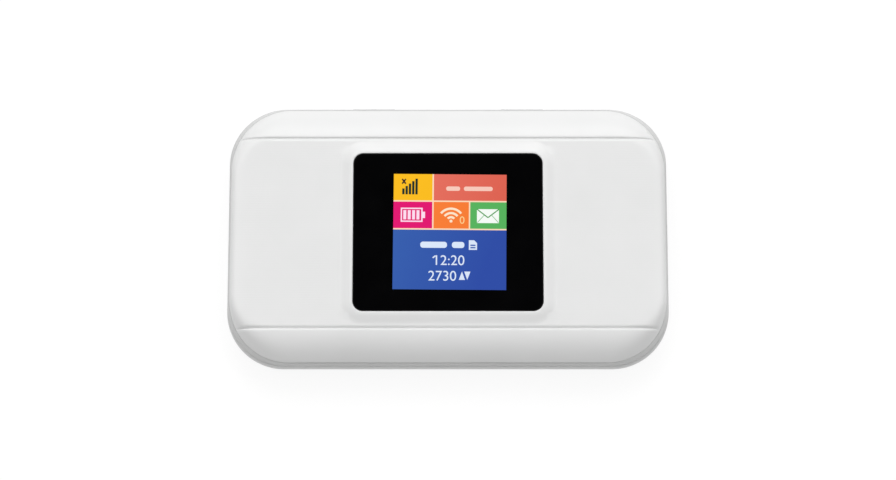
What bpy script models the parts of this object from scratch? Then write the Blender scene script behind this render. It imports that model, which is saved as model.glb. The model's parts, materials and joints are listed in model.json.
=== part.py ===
"""Pocket mobile hotspot with a small colour display, lying on its back.

Frame: +X along the long side, +Y towards the side with the controls, +Z up through the display.
The origin is the middle of the back cover's flat underside.  All values are metres.

The case is three shells.  The back cover is a tub that clips on from below, the middle frame
carries the circuit board above its deck and the battery under it, and the front shell holds the
display window.  The window, the display and the board move with the front shell.
"""

import math

import bmesh
import bpy
import numpy as np
from mathutils import Matrix, Vector

MM = 0.001
GAP = 0.3 * MM

# Case
LENGTH = 100.0 * MM
DEPTH = 60.0 * MM
HEIGHT = 15.5 * MM
CORNER_RADIUS = 13.0 * MM
CASE_STEPS = 12
SMALL_STEPS = 4
WIDEST_Z = 7.5 * MM
PARTING_Z = 9.5 * MM
SHELL_EDGE_Z = 11.0 * MM
PANEL_Z = 14.95 * MM
BELLY_INSET = 6.0 * MM
SHOULDER_INSET = 0.9 * MM

# Front shell
CREASE_Y = 21.6 * MM
STRIP_RADIUS = 12.5 * MM
STRIP_START = math.radians(8.0)
END_LENGTH = 9.0 * MM
END_POWER = 3.0
PANEL_CORNER_RADIUS = 5.0 * MM
SHELL_RIM_WIDTH = 1.6 * MM
CEILING_Z = 13.35 * MM
CEILING_INSET_X = 3.6 * MM
CEILING_INSET_Y = 7.1 * MM
PAD_SLOPE_X = 2.8 * MM
PAD_SLOPE_Y = 2.9 * MM
PAD_RIM = 0.25 * MM
PAD_FOOT_RISE = 0.02 * MM
CREASE_DEPTH = 0.3 * MM
CREASE_SPREAD = 1.5
CREASE_END_X = 47.3 * MM

# Display window and display
WINDOW_HALF_X = 21.4 * MM
WINDOW_HALF_Y = 18.1 * MM
WINDOW_RADIUS = 2.35 * MM
WINDOW_TOP_Z = HEIGHT - 0.15 * MM
WINDOW_THICKNESS = 0.95 * MM
WINDOW_LEDGE_Z = 13.6 * MM
LEDGE_THICKNESS = 0.65 * MM
LEDGE_RIB = 1.2 * MM
DISPLAY_CLEARANCE = 0.85 * MM
DISPLAY_HALF_X = 14.9 * MM
DISPLAY_HALF_Y = 15.9 * MM
DISPLAY_GLASS_THICKNESS = 1.15 * MM
BACKLIGHT_THICKNESS = 0.95 * MM
FLEX_WIDTH = 14.0 * MM
FLEX_THICKNESS = 0.14 * MM
FLEX_BEND = 0.3 * MM
FLEX_END_Y = -9.0 * MM

# Back cover
COVER_WALL = 1.3 * MM
COVER_FLOOR = 1.2 * MM
NAIL_RADIUS = 4.0 * MM
NAIL_DEPTH = 0.7 * MM

# Middle frame
SKIRT_HALF_X = 45.6 * MM
SKIRT_HALF_Y = 25.6 * MM
SKIRT_RADIUS = 10.8 * MM
SKIRT_WALL = 1.2 * MM
SKIRT_BOTTOM_Z = 2.4 * MM
DECK_BOTTOM_Z = 6.2 * MM
DECK_TOP_Z = 6.9 * MM
CONTROL_HALF_X = 25.0 * MM
CONTROL_BOTTOM_Z = 6.1 * MM
CONTROL_WALL = 1.75 * MM
TONGUE_INSET = 3.1 * MM
TONGUE_INSET_Y = 3.9 * MM
TONGUE_RADIUS = 11.0 * MM
TONGUE_HEIGHT = 0.75 * MM
TONGUE_WALL = 1.0 * MM
BAY_RIB = 1.0 * MM
BAY_RIB_Y = 20.0 * MM
BAY_RIB_GATE = 8.0 * MM
SIM_WINDOW = (9.5 * MM, 42.6 * MM, 0.9 * MM, 16.0 * MM)
CARD_WINDOW = (14.0 * MM, 42.6 * MM, -15.6 * MM, -2.9 * MM)
CONTACT_WINDOW = (-43.0 * MM, -37.4 * MM, -6.6 * MM, 6.6 * MM)

# Circuit board
BOARD_HALF_X = 43.6 * MM
BOARD_HALF_Y = 23.6 * MM
BOARD_RADIUS = 9.0 * MM
BOARD_BOTTOM_Z = 9.9 * MM
BOARD_TOP_Z = 10.9 * MM
BOARD_TAB_HALF_X = 23.4 * MM
BOARD_TAB_Y = 26.6 * MM

# What stands on the board: lowest and highest x, lowest and highest y, height
SHIELD_WALL = 0.25 * MM
UNDER_SHIELDS = {
    "modem_shield": (-33 * MM, -12 * MM, -13 * MM, 14 * MM, 1.8 * MM),
    "wifi_shield": (-9 * MM, 7 * MM, -17 * MM, -2 * MM, 1.8 * MM),
}
OVER_SHIELDS = {"power_shield": (-35 * MM, -18.6 * MM, -13 * MM, 13 * MM, 1.3 * MM)}
UNDER_CHIPS = {
    "modem_chip": (-29 * MM, -18 * MM, -3 * MM, 8 * MM, 0.9 * MM),
    "memory_chip": (-28 * MM, -17 * MM, -11 * MM, -4.5 * MM, 0.9 * MM),
    "wifi_chip": (-5 * MM, 3 * MM, -13 * MM, -5 * MM, 0.9 * MM),
}
OVER_CHIPS = {"power_chip": (-31 * MM, -24 * MM, -4 * MM, 3 * MM, 0.8 * MM)}
CARD_CAGES = {
    "sim": (28.5 * MM, 42.5 * MM, 1.5 * MM, 15.5 * MM, 1.7 * MM),
    "memory_card": (29.5 * MM, 42.5 * MM, -15.1 * MM, -3.5 * MM, 1.7 * MM),
}
CHIP_ANTENNA_X = 30.0 * MM
CHIP_ANTENNA_Y = -20.4 * MM
CHIP_ANTENNA_SIZE = (5.0 * MM, 2.0 * MM, 1.0 * MM)

# Film antennas under the shell's ends
FILM_INNER_X = 37.2 * MM
FILM_OUTER_X = 43.8 * MM
FILM_HALF_Y = 14.0 * MM
FILM_THICKNESS = 0.2 * MM
FILM_SLIT_PITCH = 8.0 * MM
FILM_SLIT_WIDTH = 2.0 * MM
FILM_SPINE = 2.0 * MM

# Charging socket
USB_HALF_X = 3.9 * MM
USB_FRONT_Y = 29.2 * MM
USB_BACK_Y = 23.6 * MM
USB_HEIGHT = 2.4 * MM
USB_TOP_Z = BOARD_BOTTOM_Z - GAP
USB_BOTTOM_Z = USB_TOP_Z - USB_HEIGHT
USB_WALL = 0.3 * MM
USB_TONGUE = (2.6 * MM, 0.5 * MM)

# Controls, on the +Y side
CONTROL_Z = 8.5 * MM
BUTTON_X = 17.0 * MM
BUTTON_LENGTH = 9.8 * MM
BUTTON_HEIGHT = 2.2 * MM
BUTTON_STAND = 0.12 * MM
BUTTON_LIP = 0.8 * MM
BUTTON_LIP_HALF_Z = 1.25 * MM
PLUNGER_SIZE = (2.2 * MM, 0.9 * MM, 0.9 * MM)
SWITCH_SIZE = (5.2 * MM, 2.6 * MM, 2.1 * MM)
SWITCH_SLACK = 0.6 * MM
RESET_SPOT = (-40.2 * MM, -13.0 * MM)
RESET_RADIUS = 0.55 * MM
RESET_SWITCH_SIZE = (3.2 * MM, 3.2 * MM, 1.5 * MM)
RESET_SLACK = 0.45 * MM

# Battery
BATTERY_HALF_X = 34.0 * MM
BATTERY_HALF_Y = 23.0 * MM
BATTERY_BOTTOM_Z = COVER_FLOOR + GAP
BATTERY_TOP_Z = DECK_BOTTOM_Z - GAP
BATTERY_CAP_LENGTH = 3.0 * MM
CONTACT_PITCH = 3.6 * MM
CONTACT_Z = 3.8 * MM
PAD_SIZE = (0.3 * MM, 2.2 * MM, 2.0 * MM)
CONNECTOR_SIZE = (4.2 * MM, 12.4 * MM)
CONNECTOR_REACH = 4.0 * MM
LEAF_THICKNESS = 0.16 * MM
LEAF_WIDTH = 1.4 * MM
LEAF_RADIUS = 0.7 * MM

# Case screws
SCREW_X = 38.5 * MM
SCREW_Y = 18.5 * MM
SCREW_RADIUS = 0.9 * MM
SCREW_HEAD_RADIUS = 1.6 * MM
SCREW_HEAD_HEIGHT = 0.9 * MM
SCREW_TIP_Z = 12.7 * MM
DRIVE_RADIUS = 0.7 * MM
DRIVE_DEPTH = 0.5 * MM
SCREW_CLEARANCE = 0.4 * MM
BOSS_RADIUS = 2.3 * MM
POST_RADIUS = 2.0 * MM


# Materials -----------------------------------------------------------------------------------

FINISHES = {
    "white_plastic": ((0.86, 0.86, 0.86), 0.38, 0.0),
    "window_black": ((0.004, 0.004, 0.005), 0.05, 0.0),
    "foam": ((0.05, 0.05, 0.05), 0.9, 0.0),
    "display_glass": ((0.05, 0.11, 0.42), 0.15, 0.0),
    "backlight_plastic": ((0.8, 0.8, 0.78), 0.5, 0.0),
    "flex_film": ((0.55, 0.26, 0.05), 0.4, 0.0),
    "board": ((0.01, 0.09, 0.04), 0.45, 0.0),
    "steel": ((0.62, 0.62, 0.6), 0.3, 1.0),
    "chip": ((0.02, 0.02, 0.022), 0.55, 0.0),
    "black_plastic": ((0.02, 0.02, 0.02), 0.5, 0.0),
    "gold": ((0.83, 0.6, 0.22), 0.28, 1.0),
    "battery_wrap": ((0.07, 0.07, 0.08), 0.45, 0.0),
    "ceramic": ((0.75, 0.74, 0.7), 0.5, 0.0),
}


def finish(name):
    """The Principled material of that name, made on first use."""
    if name in bpy.data.materials:
        return bpy.data.materials[name]
    colour, roughness, metallic = FINISHES[name]
    material = bpy.data.materials.new(name)
    material.use_nodes = True
    shader = material.node_tree.nodes["Principled BSDF"]
    shader.inputs["Base Color"].default_value = (*colour, 1.0)
    shader.inputs["Roughness"].default_value = roughness
    shader.inputs["Metallic"].default_value = metallic
    return material


# Shape tools ---------------------------------------------------------------------------------


def ring(half_x, half_y, radius, z, steps=SMALL_STEPS):
    """A level rounded rectangle as points, counter-clockwise seen from above."""
    points = []
    for quarter, (side_x, side_y) in enumerate(((1, 1), (-1, 1), (-1, -1), (1, -1))):
        corner_x = side_x * (half_x - radius)
        corner_y = side_y * (half_y - radius)
        for step in range(steps + 1):
            angle = (quarter + step / steps) * math.pi / 2
            points.append((corner_x + radius * math.cos(angle), corner_y + radius * math.sin(angle), z))
    return points


def world_spot(obj):
    """Where an unrotated object stands, through all its parents."""
    spot = Vector()
    while obj is not None:
        spot += obj.location
        obj = obj.parent
    return spot


def place(name, bm, material, parent=None):
    """Turn a bmesh into an object that has its origin on its parent's."""
    bmesh.ops.recalc_face_normals(bm, faces=bm.faces)
    mesh = bpy.data.meshes.new(name)
    bm.to_mesh(mesh)
    bm.free()
    mesh.shade_smooth()
    mesh.set_sharp_from_angle(angle=math.radians(30))
    obj = bpy.data.objects.new(name, mesh)
    bpy.context.scene.collection.objects.link(obj)
    mesh.materials.append(finish(material))
    if parent is not None:
        mesh.transform(Matrix.Translation(-world_spot(parent)))
        obj.parent = parent
    return obj


def loft(name, rings, material, ends="capped", parent=None):
    """Skin rings of equal length.  Ends are capped, or the last ring joins the first."""
    bm = bmesh.new()
    levels = [[bm.verts.new(point) for point in points] for points in rings]
    count = len(levels[0])
    pairs = list(zip(levels, levels[1:]))
    if ends == "joined":
        pairs.append((levels[-1], levels[0]))
    else:
        bm.faces.new(levels[0][::-1])
        bm.faces.new(levels[-1])
    for low, high in pairs:
        for i in range(count):
            j = (i + 1) % count
            bm.faces.new((low[i], low[j], high[j], high[i]))
    return place(name, bm, material, parent)


def case_ring(half_x, half_y, radius, z):
    return ring(half_x, half_y, radius, z, CASE_STEPS)


def plate(name, half_x, half_y, radius, bottom, top, material, steps=SMALL_STEPS, parent=None):
    rings = [ring(half_x, half_y, radius, z, steps) for z in (bottom, top)]
    return loft(name, rings, material, parent=parent)


def block(name, low, high, material, bevel=0.0, parent=None):
    """A box between two corners, with its edges rounded where bevel is given."""
    bm = bmesh.new()
    size = Vector(high) - Vector(low)
    middle = (Vector(high) + Vector(low)) / 2
    matrix = Matrix.Translation(middle) @ Matrix.Diagonal((*size, 1.0))
    bmesh.ops.create_cube(bm, size=1.0, matrix=matrix)
    if bevel:
        bmesh.ops.bevel(bm, geom=bm.edges[:], offset=bevel, segments=2, profile=0.5, affect="EDGES")
    return place(name, bm, material, parent)


def turned(name, profile, centre, material, steps=20, parent=None):
    """A closed turned solid from (radius, z) points, its ends on the axis."""
    bm = bmesh.new()
    rows = []
    for radius, z in profile:
        row = []
        for step in range(steps):
            angle = 2 * math.pi * step / steps
            row.append(bm.verts.new((centre[0] + radius * math.cos(angle),
                                     centre[1] + radius * math.sin(angle), z)))
        rows.append(row)
    bm.faces.new(rows[0][::-1])
    bm.faces.new(rows[-1])
    for low, high in zip(rows, rows[1:]):
        for i in range(steps):
            j = (i + 1) % steps
            bm.faces.new((low[i], low[j], high[j], high[i]))
    return place(name, bm, material, parent)


def ribbon(name, path, thickness, across, material, plane="XZ", parent=None):
    """A bent strip: path points in the named plane, and the strip's two edges across it."""
    points = [Vector((u, v)) for u, v in path]
    sides = []
    for i, point in enumerate(points):
        before = points[max(i - 1, 0)]
        after = points[min(i + 1, len(points) - 1)]
        along = (after - before).normalized()
        sides.append((point, Vector((-along.y, along.x)) * thickness / 2))
    outline = [p + n for p, n in sides] + [p - n for p, n in reversed(sides)]

    def spot(point, edge):
        return (point.x, edge, point.y) if plane == "XZ" else (edge, point.x, point.y)

    bm = bmesh.new()
    faces = [[bm.verts.new(spot(point, edge)) for point in outline] for edge in across]
    bm.faces.new(faces[0])
    bm.faces.new(faces[1][::-1])
    for i in range(len(outline)):
        j = (i + 1) % len(outline)
        bm.faces.new((faces[0][i], faces[0][j], faces[1][j], faces[1][i]))
    return place(name, bm, material, parent)


def boolean(target, tool, operation):
    modifier = target.modifiers.new(tool.name, "BOOLEAN")
    modifier.operation = operation
    modifier.object = tool
    modifier.solver = "EXACT"
    tool.hide_render = True
    tool.display_type = "WIRE"


def cut(target, *tools):
    for tool in tools:
        boolean(target, tool, "DIFFERENCE")


def join(target, *tools):
    for tool in tools:
        boolean(target, tool, "UNION")


def joint_empty(name, location, parent=None):
    """An empty on a joint's axis, which the moving pieces hang from."""
    empty = bpy.data.objects.new(name, None)
    empty.location = Vector(location) - world_spot(parent)
    empty.parent = parent
    bpy.context.scene.collection.objects.link(empty)
    return empty


# Case outlines -------------------------------------------------------------------------------


def body_inset(z):
    """How far the case's side stands inside its widest outline at height z."""
    if z <= WIDEST_Z:
        fall = (WIDEST_Z - z) / WIDEST_Z
        return BELLY_INSET * (1.0 - math.sqrt(max(0.0, 1.0 - fall * fall)))
    rise = (z - WIDEST_Z) / (SHELL_EDGE_Z - WIDEST_Z)
    return SHOULDER_INSET * rise * rise


def inset_ring(inset, z):
    """The case's widest outline moved in by inset, at height z."""
    return case_ring(LENGTH / 2 - inset, DEPTH / 2 - inset, CORNER_RADIUS - inset, z)


def body_ring(z, extra=0.0):
    """The case outline at height z, moved in by extra."""
    return inset_ring(body_inset(z) + extra, z)


def brow_size(drop):
    """Half sizes and corner radius of the front shell that far below the panel."""
    full_drop = PANEL_Z - SHELL_EDGE_Z
    share = 1.0 - drop / full_drop
    end = (1.0 - share**END_POWER) ** (1.0 / END_POWER)
    slope = math.acos(math.cos(STRIP_START) - drop / STRIP_RADIUS)
    strip = STRIP_RADIUS * (math.sin(slope) - math.sin(STRIP_START))
    strip_width = DEPTH / 2 - SHOULDER_INSET - CREASE_Y
    panel_half_x = LENGTH / 2 - SHOULDER_INSET - END_LENGTH
    blend = (end + min(1.0, strip / strip_width)) / 2
    edge_radius = CORNER_RADIUS - SHOULDER_INSET
    radius = PANEL_CORNER_RADIUS + (edge_radius - PANEL_CORNER_RADIUS) * blend
    return panel_half_x + END_LENGTH * end, CREASE_Y + min(strip, strip_width), radius


def brow_drop(x, y):
    """How far the front shell's surface at a point lies below the panel."""
    low, high = 0.0, PANEL_Z - SHELL_EDGE_Z
    for _ in range(40):
        middle = (low + high) / 2
        half_x, half_y, radius = brow_size(middle)
        across = abs(x) - half_x + radius
        along = abs(y) - half_y + radius
        outside = math.hypot(max(across, 0.0), max(along, 0.0)) + min(max(across, along), 0.0) > radius
        low, high = (middle, high) if outside else (low, middle)
    return low


# Case shells ---------------------------------------------------------------------------------


def make_crease(side, main):
    """A long V-shaped cutter that follows the front shell's surface at one crease."""
    rows = []
    spread = CREASE_SPREAD * MM
    stations = [CREASE_END_X * math.sin(math.pi / 2 * step / 16) for step in range(-16, 17)]
    bm = bmesh.new()
    for x in stations:
        foot = PANEL_Z - brow_drop(x, CREASE_Y) - CREASE_DEPTH
        corners = ((0.0, 0.0), (spread, MM), (-spread, MM))
        rows.append([bm.verts.new((x, side * CREASE_Y + y, foot + z)) for y, z in corners])
    bm.faces.new(rows[0][::-1])
    bm.faces.new(rows[-1])
    for low, high in zip(rows, rows[1:]):
        for i in range(3):
            j = (i + 1) % 3
            bm.faces.new((low[i], low[j], high[j], high[i]))
    label = "far" if side > 0 else "near"
    return place(f"shell_crease_{label}", bm, "white_plastic", main)


def make_front_shell(main):
    """One skin, from the rim up over the brow, down through the window and back underneath."""
    full_drop = PANEL_Z - SHELL_EDGE_Z
    shares = (1.0, 0.78, 0.55, 0.35, 0.2, 0.1, 0.04, 0.01, 0.0)
    rings = [case_ring(*brow_size(full_drop * share), PANEL_Z - full_drop * share) for share in shares]

    def window_ring(extra, z, extra_y=None):
        grow_y = extra if extra_y is None else extra_y
        return case_ring(WINDOW_HALF_X + extra, WINDOW_HALF_Y + grow_y, WINDOW_RADIUS + extra, z)

    rings.append(window_ring(PAD_SLOPE_X, PANEL_Z + PAD_FOOT_RISE, PAD_SLOPE_Y))
    rings.append(window_ring(2 * PAD_RIM, HEIGHT))
    rings.append(window_ring(PAD_RIM, HEIGHT))
    rings.append(window_ring(0.0, HEIGHT - PAD_RIM))
    rings.append(window_ring(0.0, WINDOW_LEDGE_Z))
    hole = (DISPLAY_HALF_X + DISPLAY_CLEARANCE, DISPLAY_HALF_Y + DISPLAY_CLEARANCE, 0.6 * MM)
    ledge_bottom = WINDOW_LEDGE_Z - LEDGE_THICKNESS
    rings.append(case_ring(*hole, WINDOW_LEDGE_Z))
    rings.append(case_ring(*hole, ledge_bottom))
    rings.append(window_ring(LEDGE_RIB, ledge_bottom))
    rings.append(window_ring(LEDGE_RIB + 0.4 * MM, CEILING_Z))
    edge_x = LENGTH / 2 - SHOULDER_INSET
    edge_y = DEPTH / 2 - SHOULDER_INSET
    rings.append(case_ring(edge_x - CEILING_INSET_X, edge_y - CEILING_INSET_Y, 6.0 * MM, CEILING_Z))
    rings.append(case_ring(edge_x - 1.8 * MM, edge_y - 3.1 * MM, 10.4 * MM, SHELL_EDGE_Z + 1.0 * MM))
    rings.append(inset_ring(SHOULDER_INSET + SHELL_RIM_WIDTH, SHELL_EDGE_Z))
    shell = loft("front_shell", rings, "white_plastic", ends="joined", parent=main)
    boss_profile = [(BOSS_RADIUS, BOARD_TOP_Z + GAP), (BOSS_RADIUS, CEILING_Z + 2 * GAP)]
    bore_radius = SCREW_RADIUS + GAP
    bore_profile = [(bore_radius, BOARD_BOTTOM_Z), (bore_radius, SCREW_TIP_Z + GAP)]
    for index, spot in enumerate(screw_spots()):
        join(shell, turned(f"shell_boss_{index}", boss_profile, spot, "white_plastic", parent=main))
    for index, spot in enumerate(screw_spots()):
        cut(shell, turned(f"shell_bore_{index}", bore_profile, spot, "white_plastic", parent=main))
    for side in (-1, 1):
        cut(shell, make_crease(side, main))
    return shell


def screw_spots():
    return [(side_x * SCREW_X, side_y * SCREW_Y) for side_x in (-1, 1) for side_y in (-1, 1)]


def control_strip(name, half_x, bottom, top, material, parent=None):
    """The stretch of the case side that carries the controls, back to the skirt."""
    levels = np.linspace(bottom, top, 6)
    inner = SKIRT_HALF_Y - SKIRT_WALL / 2
    bm = bmesh.new()
    rows = []
    for z in levels:
        outer = DEPTH / 2 - body_inset(z)
        corners = ((-half_x, inner), (half_x, inner), (half_x, outer), (-half_x, outer))
        rows.append([bm.verts.new((x, y, z)) for x, y in corners])
    bm.faces.new(rows[0][::-1])
    bm.faces.new(rows[-1])
    for low, high in zip(rows, rows[1:]):
        for i in range(4):
            j = (i + 1) % 4
            bm.faces.new((low[i], low[j], high[j], high[i]))
    return place(name, bm, material, parent)


def make_mid_frame(main):
    """The band seen between the shells, its skirt and deck, and what stands on them."""
    band_top = SHELL_EDGE_Z - GAP
    band_bottom = PARTING_Z + 0.15 * MM
    skirt = (SKIRT_HALF_X, SKIRT_HALF_Y, SKIRT_RADIUS)
    skirt_inside = [size - SKIRT_WALL for size in skirt]
    skirt_middle = [size - SKIRT_WALL / 2 for size in skirt]
    tongue = (LENGTH / 2 - TONGUE_INSET, DEPTH / 2 - TONGUE_INSET_Y, TONGUE_RADIUS)
    tongue_inside = [size - TONGUE_WALL for size in tongue]
    tongue_top = band_top + TONGUE_HEIGHT
    rings = [body_ring(band_bottom + (band_top - band_bottom) * share) for share in (0.0, 0.5, 1.0)]
    rings.append(case_ring(*tongue, band_top))
    rings.append(case_ring(*tongue, tongue_top))
    rings.append(case_ring(*tongue_inside, tongue_top))
    rings.append(case_ring(*tongue_inside, band_top))
    rings.append(case_ring(*skirt_inside, band_top))
    rings.append(case_ring(*skirt_inside, SKIRT_BOTTOM_Z))
    rings.append(case_ring(*skirt, SKIRT_BOTTOM_Z))
    rings.append(case_ring(*skirt, band_bottom))
    frame = loft("mid_frame", rings, "white_plastic", ends="joined", parent=main)
    deck = plate("frame_deck", *skirt_middle, DECK_BOTTOM_Z, DECK_TOP_Z, "white_plastic", CASE_STEPS, main)
    strip = control_strip("frame_controls", CONTROL_HALF_X, CONTROL_BOTTOM_Z, band_top - 0.01 * MM,
                          "white_plastic", main)
    join(frame, deck, strip)
    add_bay_ribs(frame, main)
    deck_middle = (DECK_BOTTOM_Z + DECK_TOP_Z) / 2
    post_profile = [(POST_RADIUS, deck_middle), (POST_RADIUS, BOARD_BOTTOM_Z - GAP)]
    for index, spot in enumerate(screw_spots()):
        join(frame, turned(f"frame_post_{index}", post_profile, spot, "white_plastic", parent=main))
    pocket_low = (MM - CONTROL_HALF_X, skirt_inside[1] - 0.05 * MM, DECK_TOP_Z)
    pocket_high = (CONTROL_HALF_X - MM, DEPTH / 2 - CONTROL_WALL, tongue_top + MM)
    cut(frame, block("frame_pocket", pocket_low, pocket_high, "white_plastic", parent=main))
    hole_radius = SCREW_RADIUS + SCREW_CLEARANCE
    hole_profile = [(hole_radius, DECK_BOTTOM_Z - MM), (hole_radius, BOARD_TOP_Z)]
    for index, spot in enumerate(screw_spots()):
        cut(frame, turned(f"frame_hole_{index}", hole_profile, spot, "white_plastic", parent=main))
    cut_control_openings(frame, main)
    for label, window in (("sim", SIM_WINDOW), ("card", CARD_WINDOW), ("contacts", CONTACT_WINDOW)):
        x0, x1, y0, y1 = window
        cut(frame, block(f"frame_window_{label}", (x0, y0, DECK_BOTTOM_Z - 0.2 * MM),
                         (x1, y1, DECK_TOP_Z + 0.5 * MM), "white_plastic", parent=main))
    pinhole_radius = RESET_RADIUS + GAP
    pinhole_profile = [(pinhole_radius, DECK_BOTTOM_Z - MM), (pinhole_radius, DECK_TOP_Z + MM)]
    cut(frame, turned("frame_pinhole", pinhole_profile, RESET_SPOT, "white_plastic", 12, main))
    return frame


def add_bay_ribs(frame, main):
    """Ribs that hold the battery's two ends, with a gate for its contacts."""
    inner = BATTERY_HALF_X + 2 * GAP
    outer = inner + BAY_RIB
    spans = (("far", inner, outer, -BAY_RIB_Y, BAY_RIB_Y),
             ("near_right", -outer, -inner, BAY_RIB_GATE, BAY_RIB_Y),
             ("near_left", -outer, -inner, -BAY_RIB_Y, -BAY_RIB_GATE))
    for label, x0, x1, y0, y1 in spans:
        join(frame, block(f"frame_rib_{label}", (x0, y0, SKIRT_BOTTOM_Z + 0.4 * MM),
                          (x1, y1, (DECK_BOTTOM_Z + DECK_TOP_Z) / 2), "white_plastic", parent=main))


def cut_control_openings(frame, main):
    """The two key slots and the socket's mouth, through the control strip."""
    inside = DEPTH / 2 - CONTROL_WALL - MM
    outside = DEPTH / 2 + 2 * MM
    half_x = BUTTON_LENGTH / 2 + GAP
    half_z = BUTTON_HEIGHT / 2 + GAP
    openings = [("socket", -USB_HALF_X - GAP, USB_HALF_X + GAP, USB_BOTTOM_Z - GAP, USB_TOP_Z + GAP)]
    for label, x in (("power", -BUTTON_X), ("menu", BUTTON_X)):
        openings.append((label, x - half_x, x + half_x, CONTROL_Z - half_z, CONTROL_Z + half_z))
    for label, x0, x1, z0, z1 in openings:
        mouth = block(f"frame_{label}_mouth", (x0, inside, z0), (x1, outside, z1), "white_plastic",
                      parent=main)
        cut(frame, mouth)


def make_back_cover():
    """A tub: the outside runs up to the parting line, and the inside follows it one wall in."""
    steps = 7
    outer = [body_ring(0.0)]
    for step in range(1, steps + 1):
        angle = math.pi / 2 * (1 - step / steps)
        outer.append(body_ring(WIDEST_Z * (1.0 - math.sin(angle))))
    outer.append(body_ring(PARTING_Z))
    inner = [body_ring(PARTING_Z, COVER_WALL), body_ring(WIDEST_Z, COVER_WALL)]
    for step in range(1, steps - 1):
        angle = math.pi / 2 * step / (steps - 1)
        side = WIDEST_Z * math.cos(angle)
        under = BELLY_INSET * math.sin(angle)
        reach = math.hypot(side, under)
        inset = BELLY_INSET * (1.0 - math.cos(angle)) + COVER_WALL * side / reach
        inner.append(inset_ring(inset, WIDEST_Z * (1.0 - math.sin(angle)) + COVER_WALL * under / reach))
    inner.append(inset_ring(BELLY_INSET + 0.2 * MM, COVER_FLOOR))
    cover = loft("back_cover", outer + inner, "white_plastic")
    notch = block("cover_notch", (-CONTROL_HALF_X - GAP, SKIRT_HALF_Y, CONTROL_BOTTOM_Z - GAP),
                  (CONTROL_HALF_X + GAP, DEPTH / 2 + 2 * MM, PARTING_Z + MM), "white_plastic")
    nail_profile = [(NAIL_RADIUS, PARTING_Z - NAIL_DEPTH), (NAIL_RADIUS, PARTING_Z + MM)]
    nail_spot = (LENGTH / 2 + NAIL_RADIUS - COVER_WALL - 0.1 * MM, 0.0)
    nail = turned("cover_nail_notch", nail_profile, nail_spot, "white_plastic")
    cut(cover, notch, nail)
    return cover


# Window and display --------------------------------------------------------------------------


def make_display(main):
    lens = [size - GAP for size in (WINDOW_HALF_X, WINDOW_HALF_Y, WINDOW_RADIUS)]
    edge = 0.15 * MM
    lens_bottom = WINDOW_TOP_Z - WINDOW_THICKNESS
    rings = [ring(*lens, lens_bottom), ring(*lens, WINDOW_TOP_Z - edge),
             ring(*(size - edge for size in lens), WINDOW_TOP_Z)]
    loft("display_window", rings, "window_black", parent=main)
    low = WINDOW_LEDGE_Z + GAP
    high = lens_bottom - GAP
    outer = (lens[0] - 0.2 * MM, lens[1] - 0.1 * MM, lens[2])
    inner = (DISPLAY_HALF_X + 1.3 * MM, DISPLAY_HALF_Y + 1.05 * MM, 0.6 * MM)
    rings = [ring(*outer, low), ring(*outer, high), ring(*inner, high), ring(*inner, low)]
    loft("window_gasket", rings, "foam", ends="joined", parent=main)
    glass_top = lens_bottom - GAP
    glass_bottom = glass_top - DISPLAY_GLASS_THICKNESS
    plate("lcd_panel", DISPLAY_HALF_X, DISPLAY_HALF_Y, 0.4 * MM, glass_bottom, glass_top,
          "display_glass", parent=main)
    light_top = glass_bottom - GAP
    light_bottom = light_top - BACKLIGHT_THICKNESS
    light_y = DISPLAY_HALF_Y - 0.7 * MM
    plate("lcd_backlight", DISPLAY_HALF_X + 0.5 * MM, light_y, 0.5 * MM, light_bottom, light_top,
          "backlight_plastic", parent=main)
    make_display_flex(-light_y - 0.42 * MM, glass_bottom - GAP, (light_bottom + BOARD_TOP_Z) / 2, main)


def make_display_flex(drop_y, top_z, run_z, main):
    """The display's tail: down past the backlight's edge, then back under it over the board."""
    path = [(drop_y, top_z)]
    for step in range(5):
        angle = math.pi + math.pi / 2 * step / 4
        path.append((drop_y + FLEX_BEND * (1 + math.cos(angle)), run_z + FLEX_BEND * (1 + math.sin(angle))))
    path.append((FLEX_END_Y, run_z))
    ribbon("lcd_flex", path, FLEX_THICKNESS, (-FLEX_WIDTH / 2, FLEX_WIDTH / 2), "flex_film", "YZ", main)


# Board and what is on it ---------------------------------------------------------------------


def make_board(main):
    board = plate("main_board", BOARD_HALF_X, BOARD_HALF_Y, BOARD_RADIUS, BOARD_BOTTOM_Z, BOARD_TOP_Z,
                  "board", steps=8, parent=main)
    tab = block("board_tab", (-BOARD_TAB_HALF_X, BOARD_HALF_Y - 3 * MM, BOARD_BOTTOM_Z),
                (BOARD_TAB_HALF_X, BOARD_TAB_Y, BOARD_TOP_Z), "board", parent=main)
    join(board, tab)
    radius = SCREW_RADIUS + SCREW_CLEARANCE
    profile = [(radius, BOARD_BOTTOM_Z - MM), (radius, BOARD_TOP_Z + MM)]
    for index, spot in enumerate(screw_spots()):
        cut(board, turned(f"board_hole_{index}", profile, spot, "board", parent=main))


def footprint_corners(footprint, side):
    """Corners of a box on the board: side is -1 under it and 1 over it."""
    x0, x1, y0, y1, height = footprint
    if side < 0:
        top = BOARD_BOTTOM_Z - GAP
        return (x0, y0, top - height), (x1, y1, top)
    bottom = BOARD_TOP_Z + GAP
    return (x0, y0, bottom), (x1, y1, bottom + height)


def make_shield(name, footprint, side, main):
    """A pressed steel lid, open towards the board."""
    low, high = footprint_corners(footprint, side)
    hollow_low = [value + SHIELD_WALL for value in low]
    hollow_high = [value - SHIELD_WALL for value in high]
    if side < 0:
        hollow_high[2] = high[2] + MM
    else:
        hollow_low[2] = low[2] - MM
    shield = block(name, low, high, "steel", parent=main)
    cut(shield, block(f"{name}_hollow", hollow_low, hollow_high, "steel", parent=main))


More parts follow.
